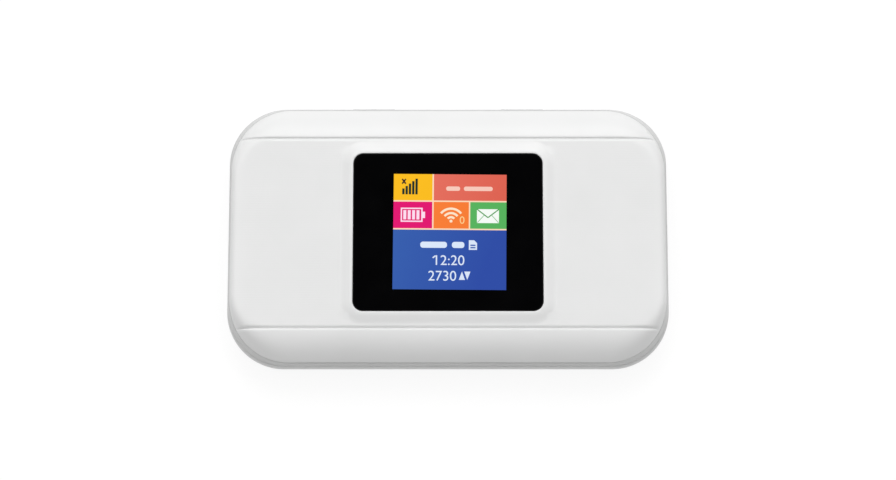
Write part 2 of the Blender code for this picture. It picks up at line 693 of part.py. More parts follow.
def make_electronics(main):
    for side, shields, chips in ((-1, UNDER_SHIELDS, UNDER_CHIPS), (1, OVER_SHIELDS, OVER_CHIPS)):
        for name, footprint in shields.items():
            make_shield(name, footprint, side, main)
        for name, footprint in chips.items():
            block(name, *footprint_corners(footprint, side), "chip", parent=main)
    length, width, height = CHIP_ANTENNA_SIZE
    for index, x in enumerate((-CHIP_ANTENNA_X, CHIP_ANTENNA_X), start=1):
        low, high = footprint_corners((x - length / 2, x + length / 2, CHIP_ANTENNA_Y - width / 2,
                                       CHIP_ANTENNA_Y + width / 2, height), 1)
        block(f"wifi_antenna_{index}", low, high, "ceramic", bevel=0.15 * MM, parent=main)


def make_film_antennas(main):
    """Printed film antennas under the shell's two ends, each fed by a small leaf spring."""
    low = CEILING_Z - 2 * GAP
    high = low + FILM_THICKNESS
    for index, (label, side) in enumerate((("main", -1), ("aux", 1)), start=1):
        x0, x1 = sorted((side * FILM_INNER_X, side * FILM_OUTER_X))
        film = block(f"lte_antenna_{label}", (x0, -FILM_HALF_Y, low), (x1, FILM_HALF_Y, high), "gold",
                     parent=main)
        x0, x1 = sorted((side * (FILM_INNER_X + FILM_SPINE), side * (FILM_OUTER_X + MM)))
        for row in (-1, 0, 1):
            y = row * FILM_SLIT_PITCH
            cut(film, block(f"film_slit_{label}_{row}", (x0, y - FILM_SLIT_WIDTH / 2, low - MM),
                            (x1, y + FILM_SLIT_WIDTH / 2, high + MM), "gold", parent=main))
        foot = BOARD_TOP_Z + GAP + 0.1 * MM
        top = low - GAP - 0.1 * MM
        x = side * (FILM_INNER_X + MM)
        reach = side * 1.6 * MM
        path = [(x, foot), (x + reach, foot), (x + reach * 1.25, (foot + top) / 2), (x + reach * 0.9, top),
                (x + reach * 0.2, top)]
        across = (0.8 * MM - FILM_HALF_Y, 2.2 * MM - FILM_HALF_Y)
        ribbon(f"antenna_spring_{index}", path, LEAF_THICKNESS, across, "gold", parent=main)


def make_charging_socket(main):
    shell = block("micro_usb_shell", (-USB_HALF_X, USB_BACK_Y, USB_BOTTOM_Z),
                  (USB_HALF_X, USB_FRONT_Y, USB_TOP_Z), "steel", parent=main)
    mouth_low = (USB_WALL - USB_HALF_X, USB_BACK_Y + USB_WALL, USB_BOTTOM_Z + USB_WALL)
    mouth_high = (USB_HALF_X - USB_WALL, USB_FRONT_Y + MM, USB_TOP_Z - USB_WALL)
    cut(shell, block("socket_mouth", mouth_low, mouth_high, "steel", parent=main))
    half_x, thickness = USB_TONGUE
    middle = (USB_BOTTOM_Z + USB_TOP_Z) / 2
    block("micro_usb_tongue", (-half_x, USB_BACK_Y + USB_WALL + GAP, middle),
          (half_x, USB_FRONT_Y - 3 * GAP, middle + thickness), "black_plastic", bevel=0.1 * MM, parent=main)


def make_card_sockets(main):
    """Steel card cages, open towards -X, each over a black contact plate."""
    inset = SHIELD_WALL + GAP
    for name, footprint in CARD_CAGES.items():
        low, high = footprint_corners(footprint, -1)
        cage = block(f"{name}_cage", low, high, "steel", parent=main)
        mouth_low = (low[0] - MM, low[1] + SHIELD_WALL, low[2] + SHIELD_WALL)
        mouth_high = [value - SHIELD_WALL for value in high]
        cut(cage, block(f"{name}_mouth", mouth_low, mouth_high, "steel", parent=main))
        plate_high = [value - inset for value in high]
        plate_low = (low[0] + MM, low[1] + inset, plate_high[2] - 0.35 * MM)
        block(f"{name}_contacts", plate_low, plate_high, "black_plastic", parent=main)


# Controls ------------------------------------------------------------------------------------


def make_key(name, x, main):
    """A side key, the plunger it pushes, and the switch on the board."""
    surface = DEPTH / 2 - body_inset(CONTROL_Z)
    axis = joint_empty(f"{name}_travel", (x, surface, CONTROL_Z), main)
    lip_front = DEPTH / 2 - CONTROL_WALL - GAP
    lip_back = lip_front - BUTTON_LIP
    half_x = BUTTON_LENGTH / 2
    half_z = BUTTON_HEIGHT / 2
    key = block(f"{name}_button", (x - half_x, lip_front - 0.2 * MM, CONTROL_Z - half_z),
                (x + half_x, surface + BUTTON_STAND, CONTROL_Z + half_z), "white_plastic", 0.2 * MM, axis)
    half_x += BUTTON_LIP
    half_z = BUTTON_LIP_HALF_Z
    lip = block(f"{name}_lip", (x - half_x, lip_back, CONTROL_Z - half_z),
                (x + half_x, lip_front, CONTROL_Z + half_z), "white_plastic", parent=axis)
    join(key, lip)
    wide, deep, tall = PLUNGER_SIZE
    front = lip_back - GAP
    block(f"{name}_plunger", (x - wide / 2, front - deep, CONTROL_Z - tall / 2),
          (x + wide / 2, front, CONTROL_Z + tall / 2), "black_plastic", 0.1 * MM, axis)
    front -= deep + SWITCH_SLACK
    wide, deep, tall = SWITCH_SIZE
    top = BOARD_BOTTOM_Z - GAP
    block(f"{name}_switch", (x - wide / 2, front - deep, top - tall), (x + wide / 2, front, top), "steel",
          0.15 * MM, main)


def make_reset(main):
    x, y = RESET_SPOT
    wide, deep, tall = RESET_SWITCH_SIZE
    top = BOARD_BOTTOM_Z - GAP
    bottom = top - tall
    block("reset_switch", (x - wide / 2, y - deep / 2, bottom), (x + wide / 2, y + deep / 2, top), "steel",
          0.12 * MM, main)
    axis = joint_empty("reset_travel", (x, y, bottom), main)
    profile = [(RESET_RADIUS, DECK_TOP_Z + 0.1 * MM), (RESET_RADIUS, bottom - RESET_SLACK)]
    turned("reset_plunger", profile, RESET_SPOT, "black_plastic", 12, axis)


# Battery and its contacts --------------------------------------------------------------------

CONTACT_ROWS = tuple(enumerate((-CONTACT_PITCH, 0.0, CONTACT_PITCH), start=1))


def make_battery(main):
    axis = joint_empty("battery_travel", (0.0, 0.0, BATTERY_BOTTOM_Z), main)
    cap_end = BATTERY_CAP_LENGTH - BATTERY_HALF_X
    block("battery_cell", (cap_end + GAP, -BATTERY_HALF_Y, BATTERY_BOTTOM_Z),
          (BATTERY_HALF_X, BATTERY_HALF_Y, BATTERY_TOP_Z), "battery_wrap", 0.7 * MM, axis)
    cap = block("battery_cap", (-BATTERY_HALF_X, -BATTERY_HALF_Y, BATTERY_BOTTOM_Z),
                (cap_end, BATTERY_HALF_Y, BATTERY_TOP_Z), "black_plastic", 0.4 * MM, axis)
    deep, wide, tall = PAD_SIZE
    face = GAP - BATTERY_HALF_X
    for index, y in CONTACT_ROWS:
        recess = block(f"cap_recess_{index}", (face - 2 * MM, y - wide / 2 - GAP, CONTACT_Z - tall / 2 - GAP),
                       (face + deep + GAP, y + wide / 2 + GAP, CONTACT_Z + tall / 2 + GAP), "black_plastic",
                       parent=axis)
        cut(cap, recess)
        block(f"battery_pad_{index}", (face, y - wide / 2, CONTACT_Z - tall / 2),
              (face + deep, y + wide / 2, CONTACT_Z + tall / 2), "gold", parent=axis)


def make_battery_connector(main):
    """The contact block on the board, with a bent leaf for each of the battery's pads."""
    front = -BATTERY_HALF_X - CONNECTOR_REACH
    deep, wide = CONNECTOR_SIZE
    housing = block("battery_connector", (front - deep, -wide / 2, SKIRT_BOTTOM_Z + GAP),
                    (front, wide / 2, BOARD_BOTTOM_Z - GAP), "black_plastic", 0.2 * MM, main)
    bow_x = -BATTERY_HALF_X - GAP - LEAF_RADIUS
    for index, y in CONTACT_ROWS:
        channel = block(f"connector_channel_{index}", (front - 1.2 * MM, y - 1.1 * MM, CONTACT_Z - 1.6 * MM),
                        (front + MM, y + 1.1 * MM, CONTACT_Z + 1.6 * MM), "black_plastic", parent=main)
        cut(housing, channel)
        path = [(front - 0.7 * MM, CONTACT_Z + 1.1 * MM), (bow_x - 0.4 * MM, CONTACT_Z + 0.8 * MM)]
        for step in range(7):
            angle = math.radians(60 - 20 * step)
            path.append((bow_x + LEAF_RADIUS * math.cos(angle), CONTACT_Z + LEAF_RADIUS * math.sin(angle)))
        path.append((bow_x - 0.9 * MM, CONTACT_Z - 0.8 * MM))
        edges = (y - LEAF_WIDTH / 2, y + LEAF_WIDTH / 2)
        ribbon(f"contact_spring_{index}", path, LEAF_THICKNESS, edges, "gold", parent=main)


# Screws --------------------------------------------------------------------------------------


def make_screws(main):
    """Self-tapping screws that go in from the battery side, each with a hexagonal recess."""
    head_top = DECK_BOTTOM_Z - GAP
    head_bottom = head_top - SCREW_HEAD_HEIGHT
    edge = 0.2 * MM
    profile = [(SCREW_HEAD_RADIUS - edge, head_bottom), (SCREW_HEAD_RADIUS, head_bottom + edge),
               (SCREW_HEAD_RADIUS, head_top), (SCREW_RADIUS, head_top), (SCREW_RADIUS, SCREW_TIP_Z - MM),
               (SCREW_RADIUS / 3, SCREW_TIP_Z)]
    drive_profile = [(DRIVE_RADIUS, head_bottom - MM), (DRIVE_RADIUS, head_bottom + DRIVE_DEPTH)]
    for index, spot in enumerate(screw_spots(), start=1):
        screw = turned(f"case_screw_{index}", profile, spot, "steel", steps=16, parent=main)
        cut(screw, turned(f"screw_drive_{index}", drive_profile, spot, "steel", steps=6, parent=main))


def build():
    for obj in list(bpy.data.objects):
        bpy.data.objects.remove(obj, do_unlink=True)
    main = joint_empty("main_unit_lift", (0.0, 0.0, PARTING_Z))
    make_back_cover()
    make_front_shell(main)
    make_mid_frame(main)
    make_display(main)
    make_board(main)
    make_electronics(main)
    make_film_antennas(main)
    make_charging_socket(main)
    make_card_sockets(main)
    make_key("power", -BUTTON_X, main)
    make_key("menu", BUTTON_X, main)
    make_reset(main)
    make_battery(main)
    make_battery_connector(main)
    make_screws(main)


build()
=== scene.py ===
import json
import math

import bmesh
import bpy
import numpy as np
from mathutils import Matrix, Vector


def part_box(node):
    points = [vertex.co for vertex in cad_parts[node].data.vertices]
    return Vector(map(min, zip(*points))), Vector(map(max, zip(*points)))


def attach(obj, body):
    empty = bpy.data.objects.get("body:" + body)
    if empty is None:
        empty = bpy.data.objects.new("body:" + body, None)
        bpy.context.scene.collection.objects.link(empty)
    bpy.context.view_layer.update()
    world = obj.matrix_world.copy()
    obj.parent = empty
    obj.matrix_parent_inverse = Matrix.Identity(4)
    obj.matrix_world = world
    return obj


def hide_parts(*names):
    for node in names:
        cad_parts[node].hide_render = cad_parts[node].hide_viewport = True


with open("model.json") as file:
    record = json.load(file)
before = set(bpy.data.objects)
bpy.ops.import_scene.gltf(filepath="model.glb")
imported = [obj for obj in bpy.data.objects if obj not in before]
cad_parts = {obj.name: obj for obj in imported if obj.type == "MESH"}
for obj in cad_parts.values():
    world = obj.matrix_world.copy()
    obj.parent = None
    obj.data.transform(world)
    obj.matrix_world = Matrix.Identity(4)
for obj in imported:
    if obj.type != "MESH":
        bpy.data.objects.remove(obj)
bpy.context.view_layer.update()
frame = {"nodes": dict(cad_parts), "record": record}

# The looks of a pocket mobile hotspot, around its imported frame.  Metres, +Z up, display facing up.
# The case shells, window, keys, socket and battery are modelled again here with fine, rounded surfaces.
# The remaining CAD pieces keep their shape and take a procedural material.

MM = 0.001

# Sizes read from the frame
COVER_LOW, COVER_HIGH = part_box("back_cover")
SHELL_LOW, SHELL_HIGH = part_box("front_shell")
LENS_LOW, LENS_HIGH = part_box("display_window")
HALF_X = COVER_HIGH.x
HALF_Y = -COVER_LOW.y
PARTING_Z = COVER_HIGH.z
SHELL_EDGE_Z = SHELL_LOW.z
HEIGHT = SHELL_HIGH.z

# Case outline
CORNER_RADIUS = 13.0 * MM
WIDEST_Z = 7.5 * MM
BELLY_INSET = 6.0 * MM
SHOULDER_INSET = HALF_X - SHELL_HIGH.x
SHOULDER_OPENING = 1.5 * MM
SHOULDER_RADIUS = CORNER_RADIUS - SHOULDER_INSET + SHOULDER_OPENING
CASE_STEPS = 32

# Front shell
PANEL_Z = HEIGHT - 0.75 * MM
FULL_DROP = PANEL_Z - SHELL_EDGE_Z
CREASE_Y = 21.75 * MM
CREASE_INNER = 0.7 * MM
CREASE_OUTER = 0.42 * MM
CREASE_DEPTH = 0.36 * MM
CREASE_POWER = 1.6
CREASE_FADE = (46.6 * MM, 48.4 * MM)
STRIP_RADIUS = 12.5 * MM
STRIP_START = math.radians(8.0)
END_LENGTH = 6.5 * MM
END_POWER = 6.0
PANEL_CORNER_RADIUS = 5.0 * MM
BISECTIONS = 36
SHELL_WALL = 1.6 * MM
PAD_WIDTH = 2.85 * MM
PAD_FLAT = 0.35 * MM
PAD_SOFTNESS = 0.45
LENS_GAP = 0.3 * MM
HOLE_HALF = (LENS_HIGH.x + LENS_GAP, LENS_HIGH.y + LENS_GAP)
HOLE_RADIUS = 2.35 * MM
HOLE_ROUNDING = 0.08 * MM
RIM_STEP = 0.05 * MM
LEDGE_Z = LENS_LOW.z - 0.8 * MM
LEDGE_BOTTOM_Z = LEDGE_Z - 0.65 * MM
LEDGE_HALF = (15.75 * MM, 16.75 * MM)
BOSS_RADIUS = 2.3 * MM
BOSS_BORE = 1.2 * MM
BOSS_EDGE = 0.1 * MM
BOSS_TOP_Z = 13.9 * MM

# Middle frame
BAND_TOP_Z = SHELL_EDGE_Z - 0.1 * MM
BAND_BOTTOM_Z = PARTING_Z + 0.2 * MM
BAND_EDGE = 0.06 * MM
TONGUE = (HALF_X - 3.6 * MM, HALF_Y - 4.3 * MM, 12.0 * MM)
TONGUE_WALL = 1.0 * MM
TONGUE_TOP_Z = BAND_TOP_Z + 0.5 * MM
SKIRT = (45.6 * MM, 25.6 * MM, 10.8 * MM)
SKIRT_WALL = 1.2 * MM
SKIRT_BOTTOM_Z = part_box("mid_frame")[0].z
DECK_BOTTOM_Z = 6.2 * MM
DECK_TOP_Z = 6.9 * MM
DECK_MIDDLE_Z = (DECK_BOTTOM_Z + DECK_TOP_Z) / 2
POST_RADIUS = 2.0 * MM
POST_TOP_Z = 9.6 * MM
SCREW_HOLE_RADIUS = 1.3 * MM
PINHOLE_RADIUS = 0.85 * MM
CONTROL_HALF_X = 25.0 * MM
CONTROL_BOTTOM_Z = 6.1 * MM
CONTROL_WALL = 1.75 * MM
CONTROL_Z = 8.5 * MM
MOUTH_CHAMFER = 0.12 * MM
SOCKET_GAP = 0.2 * MM
SOCKET_RADIUS = 0.8 * MM
RIB_BOTTOM_Z = SKIRT_BOTTOM_Z + 0.4 * MM
RIB_X = (34.6 * MM, 35.6 * MM)
RIB_Y = 20.0 * MM
RIB_EDGE = 0.15 * MM
RIB_GATE = 8.0 * MM
DECK_WINDOWS = {
    "sim": (9.5 * MM, 42.6 * MM, 0.9 * MM, 16.0 * MM),
    "card": (14.0 * MM, 42.6 * MM, -15.6 * MM, -2.9 * MM),
    "contacts": (-43.0 * MM, -37.4 * MM, -6.6 * MM, 6.6 * MM),
}
SCREW_SPOTS = [(x, y) for x in (-38.5 * MM, 38.5 * MM) for y in (-18.5 * MM, 18.5 * MM)]
RESET_SPOT = (-40.2 * MM, -13.0 * MM)

# Back cover; a clip's heights are those of its foot, its nose, where it starts to lean, and its top
COVER_WALL = 1.3 * MM
COVER_FLOOR = 1.2 * MM
COVER_EDGE = 0.12 * MM
NOTCH_GAP = 0.12 * MM
NAIL_RADIUS = 4.0 * MM
NAIL_DEPTH = 0.7 * MM
NAIL_REACH = COVER_WALL + 0.1 * MM
CLIP_HALF = 2.2 * MM
CLIP_ROOT = 0.4 * MM
CLIP_REACH = 1.1 * MM
CLIP_Z = (5.9 * MM, 7.0 * MM, 7.3 * MM, 7.9 * MM, 8.2 * MM)
CLIP_X = (-30.5 * MM, 0.0, 30.5 * MM)
CLIP_Y = (-9.0 * MM, 9.0 * MM)

# Window
LENS_CLEARANCE = 0.03 * MM
LENS_EDGE = 0.04 * MM

# Picture on the display: (u, v) in millimetres from its middle, colours in 0 to 255 screen values
PICTURE_HALF = (12.72, 13.2)
PICTURE_CENTRE = (0.4, 0.0)
PICTURE_TILT = math.radians(-0.5)
PICTURE_Z = LENS_HIGH.z + 0.01 * MM
LEVEL_RISE = 0.012 * MM
LEVEL_THICKNESS = 0.01 * MM
ROW_LINES = (6.98, 0.57)
COLUMN_LINES = (-3.83, 4.41)
RULE_WIDTH = 0.32
TITLE_Y = 9.9
STATUS_Y = -3.02
CLOCK_Y = -6.52
COUNTER_Y = -10.07
FIGURE_HEIGHT = 2.26
BAR_BLUE = (222, 234, 252)
FIGURE_BLUE = (225, 236, 252)

# Keys
KEY_HALF = (4.9 * MM, 1.1 * MM)
KEY_RADIUS = 0.95 * MM
KEY_ROUNDING = 0.2 * MM
KEY_GAP = 0.15 * MM
KEY_SLOT_RADIUS = 1.1 * MM
KEY_SET_BACK = 0.03 * MM
LIP_GAP = 0.3 * MM
LIP_REACH = (0.8 * MM, 0.15 * MM)
LIP_RADIUS = 0.5 * MM

# Battery: the label's profile is (inset, rise) above the cell
CELL_EDGE = 1.0 * MM
LABEL_MARGIN = (4.0 * MM, 3.0 * MM)
LABEL_RADIUS = 1.5 * MM
LABEL_PROFILE = ((0.0, -0.04 * MM), (0.0, 0.02 * MM), (0.05 * MM, 0.04 * MM))

# Studio: a sky brightest behind the zenith, angles in degrees from the zenith towards +Y
SKY_PEAK = 2.7
SKY_PEAK_ANGLE = 13.0
SKY_FALLOFF = 3.0
SKY_HORIZON = 0.15
SKY_BEHIND = 1.3
PATCH_ANGLE = 11.0
PATCH_EDGE = (16.0, 9.0)
LIGHT_ELEVATION = math.radians(48.0)
LIGHT_DISTANCE = 1.5
LIGHT_SIZE = 1.0
LIGHT_POWER = 5.0
FLOOR_HALF = 2.5
FLOOR_GLOW = 0.83
CAMERA_ELEVATION = math.radians(79.0)
CAMERA_DISTANCE = 0.52
CAMERA_LENS = 93.0
CAMERA_TARGET = Vector((0.0, -1.83 * MM, HEIGHT - 0.5 * MM))


# Material tools


def linear(red, green, blue):
    """A colour given in 0 to 255 screen values, as Blender's linear values."""
    values = (channel / 255.0 for channel in (red, green, blue))
    return tuple(v / 12.92 if v <= 0.04045 else ((v + 0.055) / 1.055) ** 2.4 for v in values)


def shader_input(tree, socket):
    return tree.nodes["Principled BSDF"].inputs[socket]


def new_material(name, **sockets):
    """A Principled material, and its tree."""
    material = bpy.data.materials.new(name)
    material.use_nodes = True
    tree = material.node_tree
    for socket, value in sockets.items():
        shader_input(tree, socket.replace("_", " ")).default_value = value
    return material, tree


def add(tree, kind, inputs=None, **settings):
    """A node with its settings and inputs: an output socket is linked, a colour gets its alpha."""
    node = tree.nodes.new("ShaderNode" + kind)
    for key, value in settings.items():
        setattr(node, key, value)
    for socket, value in (inputs or {}).items():
        if isinstance(value, bpy.types.NodeSocket):
            tree.links.new(value, node.inputs[socket])
        elif node.inputs[socket].type == "RGBA":
            node.inputs[socket].default_value = (*value, 1.0)
        else:
            node.inputs[socket].default_value = value
    return node


def position(tree):
    return add(tree, "TexCoord").outputs["Object"]


def noise(tree, size, detail=2.0, rough=0.5, vector=None):
    """Noise with features of that size."""
    inputs = {"Vector": vector or position(tree), "Scale": 1.0 / size, "Detail": detail, "Roughness": rough}
    return add(tree, "TexNoise", inputs).outputs["Fac"]


def remap(tree, value, low, high, start=0.3, stop=0.7):
    inputs = {"Value": value, "From Min": start, "From Max": stop, "To Min": low, "To Max": high}
    return add(tree, "MapRange", inputs).outputs["Result"]


def drift(tree, size, detail=2.0):
    """Noise of that size, spread over 0 to 1."""
    return remap(tree, noise(tree, size, detail), 0.0, 1.0)


def maths(tree, operation, first, second=0.0):
    return add(tree, "Math", {0: first, 1: second}, operation=operation).outputs[0]


def blend_colour(tree, factor, first, second):
    node = add(tree, "Mix", {0: factor, 6: first, 7: second}, data_type="RGBA")
    return node.outputs[2]


def paint(tree, factor, first, second, socket="Base Color"):
    """Colour the surface between two colours."""
    tree.links.new(blend_colour(tree, factor, first, second), shader_input(tree, socket))


def gloss(tree, value, low, high, start=0.3, stop=0.7):
    """Vary the roughness between low and high."""
    tree.links.new(remap(tree, value, low, high, start, stop), shader_input(tree, "Roughness"))


def bump(tree, height, distance, normal=None):
    inputs = {"Height": height, "Distance": distance}
    if normal is not None:
        inputs["Normal"] = normal
    result = add(tree, "Bump", inputs).outputs["Normal"]
    tree.links.new(result, shader_input(tree, "Normal"))


# Materials


def plastic(name, colour, shade, roughness, grain=0.18 * MM):
    """Moulded plastic: faint colour drift, uneven gloss and a fine spark-eroded grain."""
    material, tree = new_material(name)
    paint(tree, drift(tree, 14 * MM), colour, shade)
    gloss(tree, noise(tree, 2.2 * MM, 3.0), roughness - 0.03, roughness + 0.05)
    bump(tree, noise(tree, grain), 0.006 * MM)
    return material


def white_plastic(name, roughness=0.36):
    # A darker copy of the front shell's white plastic: painted shade, so that the case's sides, the keys and
    # the other pieces in this white come out dimmer than the front.
    return plastic(name, (0.585, 0.587, 0.585), (0.567, 0.57, 0.568), roughness)


def panel_plastic():
    """The front shell's plastic: its flat panel is finely ribbed across."""
    material = plastic("shell_white", (0.725, 0.726, 0.725), (0.705, 0.708, 0.706), 0.33)
    tree = material.node_tree
    grain = shader_input(tree, "Normal").links[0].from_socket
    spot = add(tree, "SeparateXYZ", {0: position(tree)})
    beside = maths(tree, "ABSOLUTE", spot.outputs["X"])
    along = maths(tree, "ABSOLUTE", spot.outputs["Y"])
    inside = remap(tree, along, 1.0, 0.0, CREASE_Y - 0.5 * MM, CREASE_Y)
    pad_edge = HOLE_HALF[0] + PAD_WIDTH
    outside_pad = remap(tree, beside, 0.0, 1.0, pad_edge - 1.0 * MM, pad_edge)
    panel = maths(tree, "MULTIPLY", inside, outside_pad)
    pitch = 0.55 * MM
    ribs = maths(tree, "SINE", maths(tree, "MULTIPLY", spot.outputs["Y"], math.tau / pitch))
    bump(tree, maths(tree, "MULTIPLY", ribs, panel), 0.0022 * MM, grain)
    return material


def lens_black():
    """Gloss black acrylic with a trace of ripple."""
    material, tree = new_material("lens_black")
    paint(tree, drift(tree, 8 * MM), (0.0012, 0.0012, 0.0014), (0.0018, 0.0018, 0.002))
    gloss(tree, noise(tree, 3 * MM), 0.04, 0.07)
    bump(tree, noise(tree, 12 * MM, 1.0), 0.004 * MM)
    return material


def metal(name, colour, shade, roughness):
    """Rolled sheet metal: brushed along Y, with tarnish."""
    material, tree = new_material(name, Metallic=1.0)
    paint(tree, drift(tree, 3 * MM, 3.0), colour, shade)
    scale = [1.0 / size for size in (0.3 * MM, 3 * MM, 3 * MM)]
    stretched = add(tree, "Mapping", {"Vector": position(tree), "Scale": scale})
    streaks = noise(tree, 1.0, vector=stretched.outputs["Vector"])
    gloss(tree, streaks, roughness - 0.06, roughness + 0.1)
    bump(tree, streaks, 0.004 * MM)
    return material


def solder_mask():
    """Green solder mask over copper: routed lines in low relief, and gold via dots."""
    material, tree = new_material("board_green")
    routing = {"Vector": position(tree), "Scale": 1.0, "Brick Width": 2.4 * MM, "Row Height": 0.6 * MM,
               "Mortar Size": 0.09 * MM}
    lines = add(tree, "TexBrick", routing).outputs["Fac"]
    holes = {"Vector": position(tree), "Scale": 1.0 / (2.6 * MM), "Randomness": 0.8}
    vias = add(tree, "TexVoronoi", holes).outputs["Distance"]
    mask = blend_colour(tree, lines, (0.012, 0.13, 0.06), (0.006, 0.075, 0.034))
    paint(tree, remap(tree, vias, 1.0, 0.0, 0.1, 0.13), mask, (0.5, 0.42, 0.2))
    gloss(tree, noise(tree, 1.5 * MM), 0.3, 0.42)
    bump(tree, lines, 0.02 * MM)
    return material


def wrap_film(name, colour, shade):
    """Thin printed film: satin, with faint wrinkles."""
    material, tree = new_material(name)
    wrinkles = noise(tree, 9 * MM, 4.0, 0.6)
    paint(tree, wrinkles, colour, shade)
    gloss(tree, wrinkles, 0.3, 0.45)
    bump(tree, wrinkles, 0.15 * MM)
    return material


def foam():
    material, tree = new_material("foam_black")
    cells = add(tree, "TexVoronoi", {"Vector": position(tree), "Scale": 1.0 / (0.25 * MM)})
    depth = cells.outputs["Distance"]
    # The pores are painted darker than the cell walls, following the bump's hollows: painted shade in the
    # pores.
    paint(tree, depth, (0.01, 0.01, 0.01), (0.05, 0.05, 0.05))
    gloss(tree, depth, 0.8, 0.95, 0.0, 0.6)
    bump(tree, depth, 0.05 * MM)
    return material


def lit(name, left, right=None):
    """A lit stretch of the display: it gives its own light, drifting in colour from left to right."""
    material, tree = new_material(name, Base_Color=(0.0, 0.0, 0.0, 1.0), Emission_Strength=1.0)
    right = right or [max(0, channel - 4) for channel in left]
    spot = add(tree, "SeparateXYZ", {0: position(tree)})
    slant = maths(tree, "ADD", spot.outputs["X"], maths(tree, "MULTIPLY", spot.outputs["Y"], -0.35))
    ripple = maths(tree, "MULTIPLY", noise(tree, 5 * MM), 3 * MM)
    span = PICTURE_HALF[0] * MM
    factor = remap(tree, maths(tree, "ADD", slant, ripple), 0.0, 1.0, -span, span)
    paint(tree, factor, linear(*left), linear(*right), "Emission Color")
    gloss(tree, noise(tree, 3 * MM), 0.06, 0.1)
    return material


MATERIALS = {
    "shell": panel_plastic(),
    # The case's and the keys' white is the darker copy of the shell's white: painted shade for their dimmer
    # sides.
    "white_plastic": white_plastic("case_white_painted_shade"),
    "key_plastic": white_plastic("key_white_painted_shade", 0.28),
    "symbol_grey": plastic("symbol_grey", (0.3, 0.3, 0.31), (0.26, 0.26, 0.27), 0.4),
    "label_film": wrap_film("label_film", (0.42, 0.43, 0.45), (0.34, 0.35, 0.37)),
    "window_black": lens_black(),
    "foam": foam(),
    "display_glass": plastic("display_grey", (0.05, 0.06, 0.08), (0.04, 0.05, 0.07), 0.12),
    "backlight_plastic": plastic("backlight_white", (0.8, 0.8, 0.78), (0.76, 0.76, 0.74), 0.45),
    "flex_film": wrap_film("flex_amber", (0.5, 0.22, 0.04), (0.36, 0.15, 0.03)),
    "board": solder_mask(),
    "steel": metal("tinned_steel", (0.62, 0.62, 0.6), (0.5, 0.5, 0.48), 0.32),
    "chip": plastic("chip_epoxy", (0.022, 0.022, 0.024), (0.03, 0.03, 0.032), 0.55, 0.08 * MM),
    "black_plastic": plastic("black_moulding", (0.018, 0.018, 0.018), (0.026, 0.026, 0.026), 0.45),
    "gold": metal("gold_plate", (0.86, 0.62, 0.26), (0.74, 0.5, 0.18), 0.24),
    "battery_wrap": wrap_film("battery_film", (0.05, 0.052, 0.058), (0.085, 0.087, 0.095)),
    "ceramic": plastic("chip_ceramic", (0.72, 0.7, 0.65), (0.64, 0.62, 0.57), 0.4, 0.06 * MM),
}


# Shape tools


def ring(half_x, half_y, radius, z, steps=CASE_STEPS):
    """A level rounded rectangle as points, counter-clockwise seen from above."""
    points = []
    for quarter, (side_x, side_y) in enumerate(((1, 1), (-1, 1), (-1, -1), (1, -1))):
        corner_x = side_x * (half_x - radius)
        corner_y = side_y * (half_y - radius)
        for step in range(steps + 1):
            angle = (quarter + step / steps) * math.pi / 2
            points.append((corner_x + radius * math.cos(angle), corner_y + radius * math.sin(angle), z))
    return points


def smooth(mesh, sharp=35.0):
    """Shade smooth, with edges sharper than that angle kept."""
    mesh.shade_smooth()
    mesh.set_sharp_from_angle(angle=math.radians(sharp))


def to_object(name, bm, sharp=35.0):
    """A smooth-shaded object with sharp creases kept."""
    bmesh.ops.recalc_face_normals(bm, faces=bm.faces)
    mesh = bpy.data.meshes.new(name)
    bm.to_mesh(mesh)
    bm.free()
    smooth(mesh, sharp)
    obj = bpy.data.objects.new(name, mesh)
    bpy.context.scene.collection.objects.link(obj)
    return obj


def shrunk(points, share=0.985):
    """A ring drawn in towards its middle, so that a cap keeps its flat shading up to its edge."""
    middle = sum((Vector(point) for point in points), Vector()) / len(points)
    return [tuple(middle + (Vector(point) - middle) * share) for point in points]


def skin(bm, rings, joined=False):
    """Faces between rings of equal length.  Ends are capped, or the last ring joins the first."""
    levels = [[bm.verts.new(point) for point in points] for points in rings]
    pairs = list(zip(levels, levels[1:]))
    if joined:
        pairs.append((levels[-1], levels[0]))
    else:
        bm.faces.new(levels[0][::-1])
        bm.faces.new(levels[-1])
    for low, high in pairs:
        for i in range(len(low)):
            j = (i + 1) % len(low)
            bm.faces.new((low[i], low[j], high[j], high[i]))


def loft(name, rings, joined=False):
    """An object of one skin."""
    bm = bmesh.new()
    skin(bm, rings, joined)
    return to_object(name, bm)


def block(name, low, high, bevel=0.0, segments=3):
    bm = bmesh.new()
    low = Vector(low)
    high = Vector(high)
    matrix = Matrix.Translation((low + high) / 2) @ Matrix.Diagonal((*(high - low), 1.0))
    bmesh.ops.create_cube(bm, size=1.0, matrix=matrix)
    if bevel:
        bmesh.ops.bevel(bm, geom=bm.edges[:], offset=bevel, segments=segments, profile=0.5, affect="EDGES")
        flats = sorted(bm.faces, key=lambda face: -face.calc_area())[:6]
        bmesh.ops.inset_individual(bm, faces=flats, thickness=bevel / 20)
    return to_object(name, bm)


def circle(centre, radius, z, steps):
    """A level circle as points, counter-clockwise seen from above."""
    angles = [math.tau * step / steps for step in range(steps)]
    return [(centre[0] + radius * math.cos(a), centre[1] + radius * math.sin(a), z) for a in angles]


def turned(name, profile, centre, steps=32, joined=False):
    """A closed turned solid from (radius, z) points."""
    return loft(name, [circle(centre, radius, z, steps) for radius, z in profile], joined)


def upright_ring(x, y, z, half_x, half_z, radius, steps):
    """A rounded rectangle standing at y, as points."""
    return [(x + u, y, z + v) for u, v, _ in ring(half_x, half_z, radius, 0.0, steps)]


